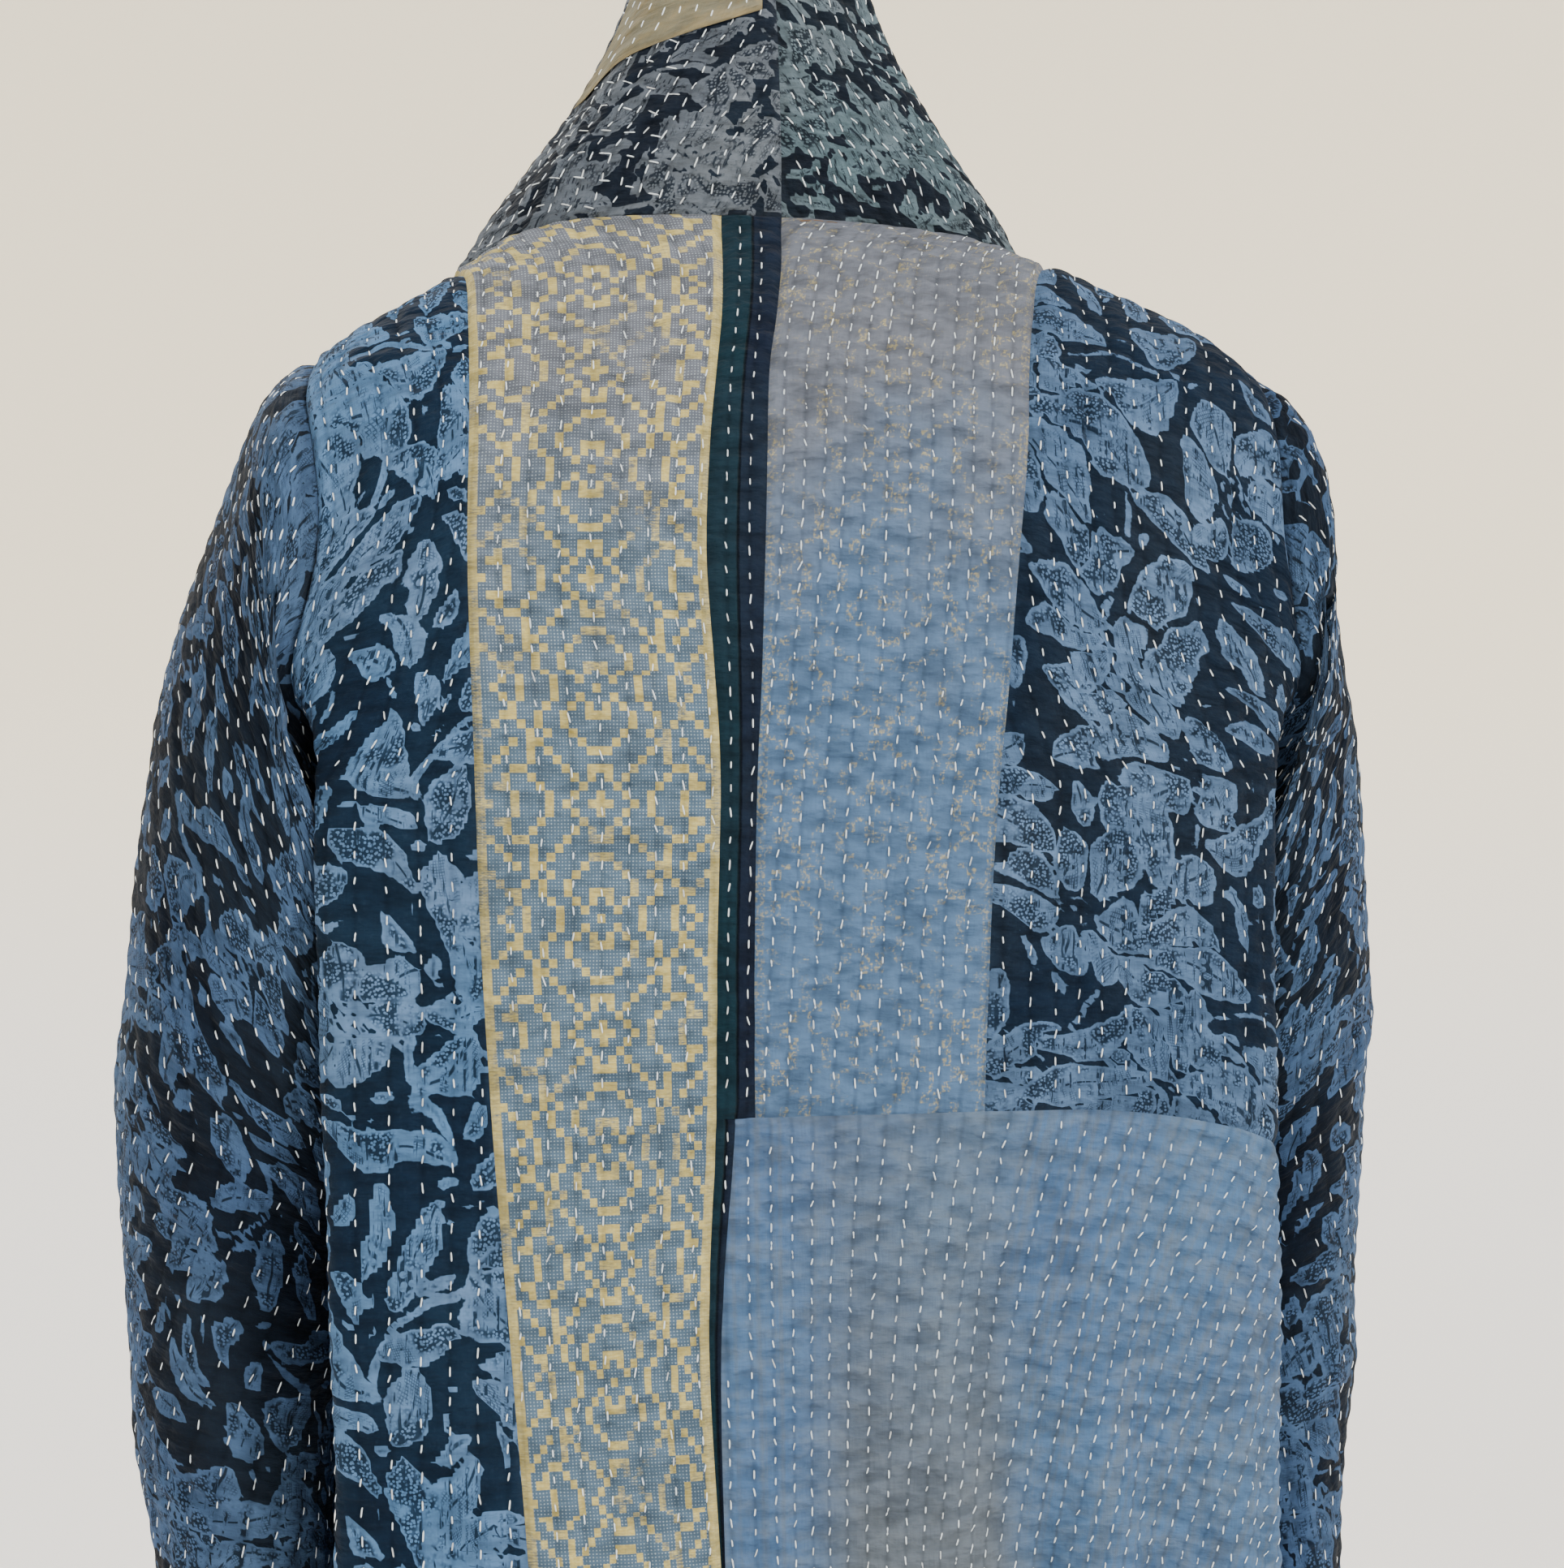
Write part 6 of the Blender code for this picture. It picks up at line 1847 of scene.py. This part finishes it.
def add_collar():
    """Two halves that rise from the panels' feet to the top edge, and the patch on the left one."""
    neck = np.array([float(LEVEL["neck"])])
    strip_outer, strip_inner, navy_right, floral_inner = (back_seam(name, neck) for name in SEAM_COLUMNS)
    at_side = np.array([float(SIDE)])
    _, up = evenly(at_side, at_side, neck, neck + LEVEL["top"] - LEVEL["neck"], COLLAR_ROWS)
    halves = (
        ("collar_left", navy_right, strip_outer, LEFT_COLLAR_COLUMNS, "collar_left"),
        ("collar_right", floral_inner, navy_right, RIGHT_COLLAR_COLUMNS, "collar"),
    )
    for name, start, end, columns, material in halves:
        foot, _ = evenly(start, end, neck, neck, columns)
        around, level = np.meshgrid(foot[0], up[0])
        grid = inset(figure(around, level), COLLAR_SEAMS.split()), figure_normals(around, level)
        cloth = add_cloth(name, "collar", *grid, COLLAR_SEAMS, material=material)
        cut_and_sew(cloth)
        if name == "collar_left":
            sew_lines(cloth, slanted_rows(cloth), CROSSING_PITCH, CROSSING_LENGTH, kind="crossing_")
    add_collar_patch(navy_right, strip_inner, strip_outer, neck)


def add_collar_patch(navy_right, strip_inner, strip_outer, neck):
    """The olive patch, which lies on the collar's left half from its centre seam out."""
    foot = np.concatenate([
        evenly(navy_right, strip_inner, neck, neck, FOOT_NAVY_COLUMNS)[0][0][:-1],
        evenly(strip_inner, strip_outer, neck, neck, FOOT_STRIP_COLUMNS)[0][0],
    ])[PATCH_COLUMNS]
    around = np.interp(np.linspace(0, len(foot) - 1, PATCH_ACROSS + 1), np.arange(len(foot)), foot)
    share = np.linspace(0.0, 1.0, PATCH_ROWS + 1)[:, None]
    lower = np.linspace(PATCH_FOOT_CENTRE, PATCH_FOOT_SIDE, len(around))[None, :]
    level = lower * (1 - share) + PATCH_TOP * share
    grid = around[None, :] + 0 * share
    cloth = add_cloth("collar_patch", "olive", figure(grid, level), figure_normals(grid, level),
                      layer=WALL + QUILT_RISE + 2 * SEAM_GAP, wall=PATCH_WALL, quilted=False)
    declare(cloth)
    rows, columns = cloth["outside"].shape[:2]
    up = np.arange(1.0, rows - 1)
    across = np.linspace(0.0, columns - 1, PATCH_STITCH_ROWS + 2)[1:-1]
    lines = [(float(number), up, np.full(len(up), column)) for number, column in enumerate(across)]
    sew_lines(cloth, lines, PATCH_PITCH, PATCH_STITCH, phased=False)


def hem(cloth, edges):
    """A row of stitches along each named edge of a tie, a little way in."""
    rows, columns = cloth["outside"].shape[:2]
    row, column = np.arange(rows, dtype=float), np.arange(columns, dtype=float)
    from_edges = edge_distances(cloth["outside"])
    lines = []
    for number, edge in enumerate(edges):
        upright = edge in ("left", "right")
        runs = from_edges[edge] if upright else from_edges[edge].T
        found = np.array([np.interp(BELT_HEM, *ordered(run, column if upright else row)) for run in runs])
        line = (row, found) if upright else (found, column)
        lines.append((float(number), line[0][HEM_STRETCH], line[1][HEM_STRETCH]))
    sew_lines(cloth, lines, BELT_PITCH, BELT_STITCH, phased=False)


def ordered(distance, place):
    """A pair for interpolation, with its distances rising."""
    return (distance, place) if distance[-1] > distance[0] else (distance[::-1], place[::-1])


def sleeve_rings(side):
    """A sleeve's rings, as on the left: first the armhole itself, then rings that near a tube's shape."""
    turn = np.linspace(-np.pi, np.pi, SLEEVE_AROUND + 1)
    armhole_level = ARMHOLE_MIDDLE + ARMHOLE_HALF * np.cos(turn)
    mirror = np.array([side, 1.0, 1.0])
    armhole = figure(side * armhole_around(turn), armhole_level) * mirror
    normals = figure_normals(side * armhole_around(turn), armhole_level) * mirror
    at_top = ((1 + np.cos(turn)) / 2)[:, None]
    rings = []
    sizes = named(SLEEVE_COLUMNS, SLEEVE_ROWS)
    for place, size in enumerate(sizes):
        shift = {column: size[column] - sizes[0][column] for column in SLEEVE_COLUMNS}
        top_shift = np.array([shift["outer_x"], shift["centre_y"], shift["outer_z"]])
        low_shift = np.array([shift["inner_x"], shift["centre_y"], shift["inner_z"]])
        carried = armhole + top_shift * at_top + low_shift * (1 - at_top)
        tilt = side * SHOULDER_TILT * (1 - place / (len(SLEEVE_ROWS) - 1))
        outer = np.array([size["outer_x"], size["centre_y"], size["outer_z"] - tilt])
        inner = np.array([size["inner_x"], size["centre_y"], size["inner_z"]])
        across = (outer - inner) / 2
        deep = np.array([0.0, size["half_depth"], 0.0])
        tube = (outer + inner) / 2 + across * np.cos(turn)[:, None] + deep * np.sin(turn)[:, None]
        rings.append(carried * (1 - size["own_shape"]) + tube * size["own_shape"])
    return np.array(rings), normals, turn


def add_sleeve(name, side):
    """A sleeve as one sheet, open at the armhole and the cuff, with its seam below the arm."""
    rings, armhole_normals, turn = sleeve_rings(side)
    fine_place = np.linspace(0.0, len(rings) - 1, FINE_STEPS)
    run = run_along(through(rings.mean(axis=1), fine_place))
    place = np.interp(np.linspace(0.0, run[-1], SLEEVE_DOWN + 1), run, fine_place)
    points = through(rings, place)
    down = place[:, None] / (len(rings) - 1)
    along = np.gradient(points, axis=0)
    ahead = np.concatenate([points[:, 1:], points[:, 1:2]], axis=1)
    behind = np.concatenate([points[:, -2:-1], points[:, :-1]], axis=1)
    fade = smooth_step(place / ARMHOLE_BLEND)[:, None, None]
    normals = unit(armhole_normals * (1 - fade) + unit(np.cross(along, ahead - behind)) * fade)
    for fold in named(SLEEVE_FOLD_COLUMNS, SLEEVE_FOLD_ROWS):
        centre = fold["place"] + SLEEVE_FOLD_LEAN * np.sin(turn + fold["lean"])
        wave = np.exp(-(((down - centre) / SLEEVE_FOLD_SPREAD) ** 2))
        points = points + normals * (fold["depth"] * wave)[..., None]
    relief = np.zeros(points.shape[:2])
    for size in named(SLEEVE_CREASE_COLUMNS, SLEEVE_CREASES[name]):
        round_it = np.mod(turn - size["round"] + np.pi, 2 * np.pi) - np.pi
        relief = relief + crease(round_it * SLEEVE_RADIUS + 0 * down, (size["down"] - down) * run[-1], size)
    relief = relief * smooth_step(down / SLEEVE_CALM)
    mirror = np.array([side, 1.0, 1.0])
    points, normals = points * mirror, normals * mirror
    relief = relief + uneven(points)
    upward = np.s_[::-1, ::-1] if side > 0 else np.s_[::-1]
    points = inset(points[upward].copy(), ("top",), SEAM_GAP)
    points = inset(points, ("left", "right"))
    cloth = add_cloth(name, "floral", points, normals[upward], OPEN_HEM, relief=relief[upward],
                      material="floral_sleeve_shaded", plain_inside=SLEEVE_PLAIN_INSIDE)
    cut_and_sew(cloth)


def add_belt_half(name, side):
    """A tie from the side seam to the knot, made from the front's points and moved out over the bands."""
    heights = BELT_TOP_Z - BELT_HEIGHT + BELT_HEIGHT * np.linspace(0.0, 1.0, BELT_ROWS + 1)
    level = level_at_height(heights)
    start = np.full(BELT_ROWS + 1, BELT_START)
    end = front_around(np.full(BELT_ROWS + 1, BELT_END_X), level)
    around, levels = evenly(start, end, level, level, BELT_COLUMNS)
    distance = figure(around, levels)[..., 0]
    rising = smooth_step((RISE_START_X - distance) / (RISE_START_X - RISE_END_X))
    lift_start = WALL + QUILT_RISE + LYING_CLEARANCE
    lift_end = BAND_LAYER + WALL + QUILT_RISE + LYING_CLEARANCE
    layer = lift_start + (lift_end - lift_start) * rising
    if side < 0:
        around, levels, layer = -around[:, ::-1], levels[:, ::-1], layer[:, ::-1]
    points = figure(around, levels)
    cloth = add_cloth(name, "belt", points, figure_normals(around, levels), layer=layer, wall=BELT_WALL,
                      quilted=False, relief=belt_relief(points))
    declare(cloth)
    hem(cloth, ("bottom", "top"))


def belt_relief(points):
    """Soft lengthwise creases, gathered towards the knot."""
    near = np.exp(-((points[..., 0] / GATHER_REACH) ** 2))
    height = points[..., 2] - (BELT_TOP_Z - BELT_HEIGHT / 2)
    wave = np.sin(height * GATHER_TURNS + points[..., 0] * GATHER_LEAN)
    return GATHER_DEPTH * (GATHER_LEAST + near) * wave + uneven(points) / 2


def knot_centre():
    """The knot's middle, in front of the lapped bands and the tails."""
    level = level_at_height(BELT_TOP_Z - BELT_HEIGHT / 2)
    front = figure(np.array([float(FRONT)]), np.array([level]))[0]
    stands_out = BAND_LAYER + WALL + QUILT_RISE + TAIL_CLEARANCE + BELT_WALL + KNOT_GAP + KNOT_HALF_DEPTH
    return front + np.array([0.0, -stands_out, 0.0])


def add_knot():
    """The tied knot: a full bundle of cloth with one turn of the tie wrapped slantwise over it."""
    centre = knot_centre()
    rise = np.linspace(-1.0, 1.0, KNOT_RINGS + 1)[1:-1, None]
    rise = np.sin(rise * np.pi / 2)
    turn = 2 * np.pi * np.arange(KNOT_AROUND)[None, :] / KNOT_AROUND
    width = (1 - np.abs(rise) ** KNOT_SQUARE_Z) ** (1 / KNOT_SQUARE_Z)
    pinch = (1 - KNOT_PINCH * np.cos(np.pi * rise)) / (1 + KNOT_PINCH)
    x = np.sign(np.cos(turn)) * np.abs(np.cos(turn)) ** KNOT_SQUARE_X
    y = np.sign(np.sin(turn)) * np.abs(np.sin(turn)) ** KNOT_SQUARE_Y
    slant = rise * KNOT_HALF_HEIGHT + x * KNOT_SLANT
    wrap = smooth_step((KNOT_WRAP_HALF - np.abs(slant)) / KNOT_WRAP_EDGE)
    pleats = np.sin(x * KNOT_PLEATS + rise * KNOT_PLEAT_LEAN) * (1 - wrap)
    pleats = pleats + KNOT_WRAP_PLEATS * np.sin(slant / KNOT_WRAP_HALF * KNOT_WRAP_TURNS) * wrap
    front = smooth_step(KNOT_WRAP_REACH - y)
    size = 1 - KNOT_TUCK + KNOT_TUCK * wrap * front + KNOT_PLEAT_DEPTH * pleats * front
    points = np.stack([
        centre[0] + x * width * pinch * KNOT_HALF_WIDTH * size,
        centre[1] + y * width * KNOT_HALF_DEPTH * size,
        centre[2] + rise * KNOT_HALF_HEIGHT + 0 * x,
    ], axis=-1)
    rings, columns = points.shape[:2]
    poles = [centre + (0.0, 0.0, -KNOT_HALF_HEIGHT), centre + (0.0, 0.0, KNOT_HALF_HEIGHT)]
    vertices = np.concatenate([points.reshape(-1, 3), poles])
    index = ring_numbers(rings, columns)
    faces = quads(index, turned=True)
    low, high = rings * columns, rings * columns + 1
    for step in range(columns):
        faces.append((low, int(index[0, step + 1]), int(index[0, step])))
        faces.append((high, int(index[-1, step]), int(index[-1, step + 1])))
    piece = new_piece("cloth_belt_knot", vertices, faces, ("belt",))
    keep(piece.data, "on_cloth", vertices[:, [0, 2, 1]] - centre[[0, 2, 1]])
    keep(piece.data, "to_edge", np.ones((len(vertices), 3)))
    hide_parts("belt_knot")
    return piece


def add_tail(name, side):
    """A tail that hangs from behind the knot, in front of the bands, gathered at its top."""
    top_z = knot_centre()[2] - KNOT_HALF_HEIGHT + TAIL_TUCK
    heights = top_z - TAIL_LENGTH * np.linspace(1.0, 0.0, TAIL_ROWS + 1)
    hang = ((top_z - heights) / TAIL_LENGTH)[:, None]
    widened = smooth_step((hang - TAIL_WIDENS_FROM) / TAIL_WIDENS_OVER)
    width = TAIL_TOP_WIDTH + (TAIL_WIDTH - TAIL_TOP_WIDTH) * widened
    part = TAIL_PART_TOP + TAIL_PART_SPREAD * hang
    share = np.linspace(0.0, 1.0, TAIL_COLUMNS + 1)[None, :]
    distance = part + width * share
    levels = level_at_height(heights)[:, None] + 0 * distance
    around = front_around(distance, levels)[:, ::-1]
    layer = BAND_LAYER + WALL + QUILT_RISE + TAIL_CLEARANCE + 0 * distance
    folds = TAIL_FOLD_DEPTH * np.sin(share * TAIL_FOLD_TURNS + hang * TAIL_FOLD_LEAN + side) * (1 - hang / 2)
    relief = (TAIL_FOLD_DEPTH + folds) * smooth_step(hang / TAIL_LIFT_OVER) + 0 * distance
    if side < 0:
        around = -around[:, ::-1]
        layer -= BAND_LAYER / 2 * smooth_step(hang / TAIL_LIFT_OVER)
        relief = relief[:, ::-1]
    cloth = add_cloth(name, "belt", figure(around, levels), figure_normals(around, levels), layer=layer,
                      wall=BELT_WALL, quilted=False, relief=relief)
    declare(cloth)
    hem(cloth, ("bottom", "left", "right"))


def add_belt():
    """The knot, the two ties that meet in it, and the tails that hang from it."""
    knot = add_knot()
    add_belt_half("belt_left", 1)
    add_belt_half("belt_right", -1)
    add_tail("belt_tail_left", 1)
    add_tail("belt_tail_right", -1)


def add_light(name, place, aim, size, power, colour):
    """A round, soft lamp that is turned towards its aim."""
    light = bpy.data.lights.new(name, "AREA")
    light.shape = "DISK"
    light.size = size
    light.energy = power
    light.color = colour
    lamp = bpy.data.objects.new(name, light)
    lamp.location = place
    direction = Vector(aim) - Vector(place)
    lamp.rotation_euler = direction.to_track_quat("-Z", "Y").to_euler()
    bpy.context.scene.collection.objects.link(lamp)


def stage_material():
    """A pale paint that glows a little, cool near the floor and warm above."""
    material = bpy.data.materials.new("stage")
    material.use_nodes = True
    tree = material.node_tree
    _, _, up = object_place(tree).parts()
    colour = up.ramp(STAGE_COOL_BELOW, STAGE_WARM_ABOVE).blend(STAGE_COOL, STAGE_WARM)
    inputs = tree.nodes["Principled BSDF"].inputs
    for socket in ("Base Color", "Emission Color"):
        set_input(tree, inputs[socket], colour)
    inputs["Emission Strength"].default_value = STAGE_GLOW
    inputs["Roughness"].default_value = STAGE_ROUGHNESS
    return material


def add_stage():
    """A pale floor that sweeps up into a round wall."""
    flat = np.linspace(0.0, STAGE_FLAT, STAGE_FLAT_STEPS)
    radius = np.concatenate([flat, np.full(STAGE_STEPS, STAGE_FLAT)])
    height = np.full(len(radius), STAGE_FLOOR)
    bend = np.linspace(0.0, np.pi / 2, STAGE_STEPS + 1)[1:]
    radius[STAGE_FLAT_STEPS:] = STAGE_FLAT + STAGE_BEND * np.sin(bend)
    height[STAGE_FLAT_STEPS:] = STAGE_FLOOR + STAGE_BEND * (1 - np.cos(bend))
    radius = np.append(radius, radius[-1])
    height = np.append(height, STAGE_TOP)
    turn = 2 * np.pi * np.arange(STAGE_AROUND) / STAGE_AROUND
    points = np.stack([
        radius[1:, None] * np.cos(turn), radius[1:, None] * np.sin(turn), height[1:, None] + 0 * turn,
    ], axis=-1)
    index = ring_numbers(len(points), STAGE_AROUND)
    centre = len(points) * STAGE_AROUND
    faces = quads(index)
    faces += [(centre, int(index[0, step]), int(index[0, step + 1])) for step in range(STAGE_AROUND)]
    vertices = np.concatenate([points.reshape(-1, 3), [[0.0, 0.0, STAGE_FLOOR]]])
    mesh = bpy.data.meshes.new("stage")
    mesh.from_pydata(vertices.tolist(), [], faces)
    mesh.shade_smooth()
    mesh.materials.append(stage_material())
    stage = bpy.data.objects.new("stage", mesh)
    bpy.context.scene.collection.objects.link(stage)


def add_lights():
    """The soft lamps, and an even light from all round."""
    for row in LIGHTS:
        add_light(*row)
    world = bpy.data.worlds.new("studio")
    world.use_nodes = True
    sky = world.node_tree.nodes["Background"].inputs
    sky["Color"].default_value = WORLD_COLOUR
    sky["Strength"].default_value = WORLD_STRENGTH
    bpy.context.scene.world = world


def add_camera():
    """The photograph's view, from behind and a little to the wearer's left."""
    camera = bpy.data.cameras.new("camera")
    camera.sensor_fit = "HORIZONTAL"
    camera.angle = 2 * math.atan(IMAGE_WIDTH / 2 / FOCAL_PIXELS)
    camera.clip_start, camera.clip_end = CAMERA_CLIP
    turn = math.radians(CAMERA_TURN)
    toward = Vector((math.sin(turn), math.cos(turn), 0.0))
    aside = Vector((-math.cos(turn), math.sin(turn), 0.0))
    seen = bpy.data.objects.new("camera", camera)
    seen.location = toward * CAMERA_DISTANCE + aside * CAMERA_ASIDE + Vector((0.0, 0.0, CAMERA_HEIGHT))
    seen.rotation_euler = (-toward).to_track_quat("-Z", "Y").to_euler()
    bpy.context.scene.collection.objects.link(seen)
    bpy.context.scene.camera = seen


GROUPS = {"weave": make_weave_group(), "pucker": make_pucker_group(), "wear": make_wear_group()}
MATERIALS = make_materials()
TILE = make_tile()
add_stage()
add_lights()
add_camera()
add_back()
add_fronts()
add_bands()
add_collar()
add_sleeve("sleeve_left", 1.0)
add_sleeve("sleeve_right", -1.0)
add_belt()
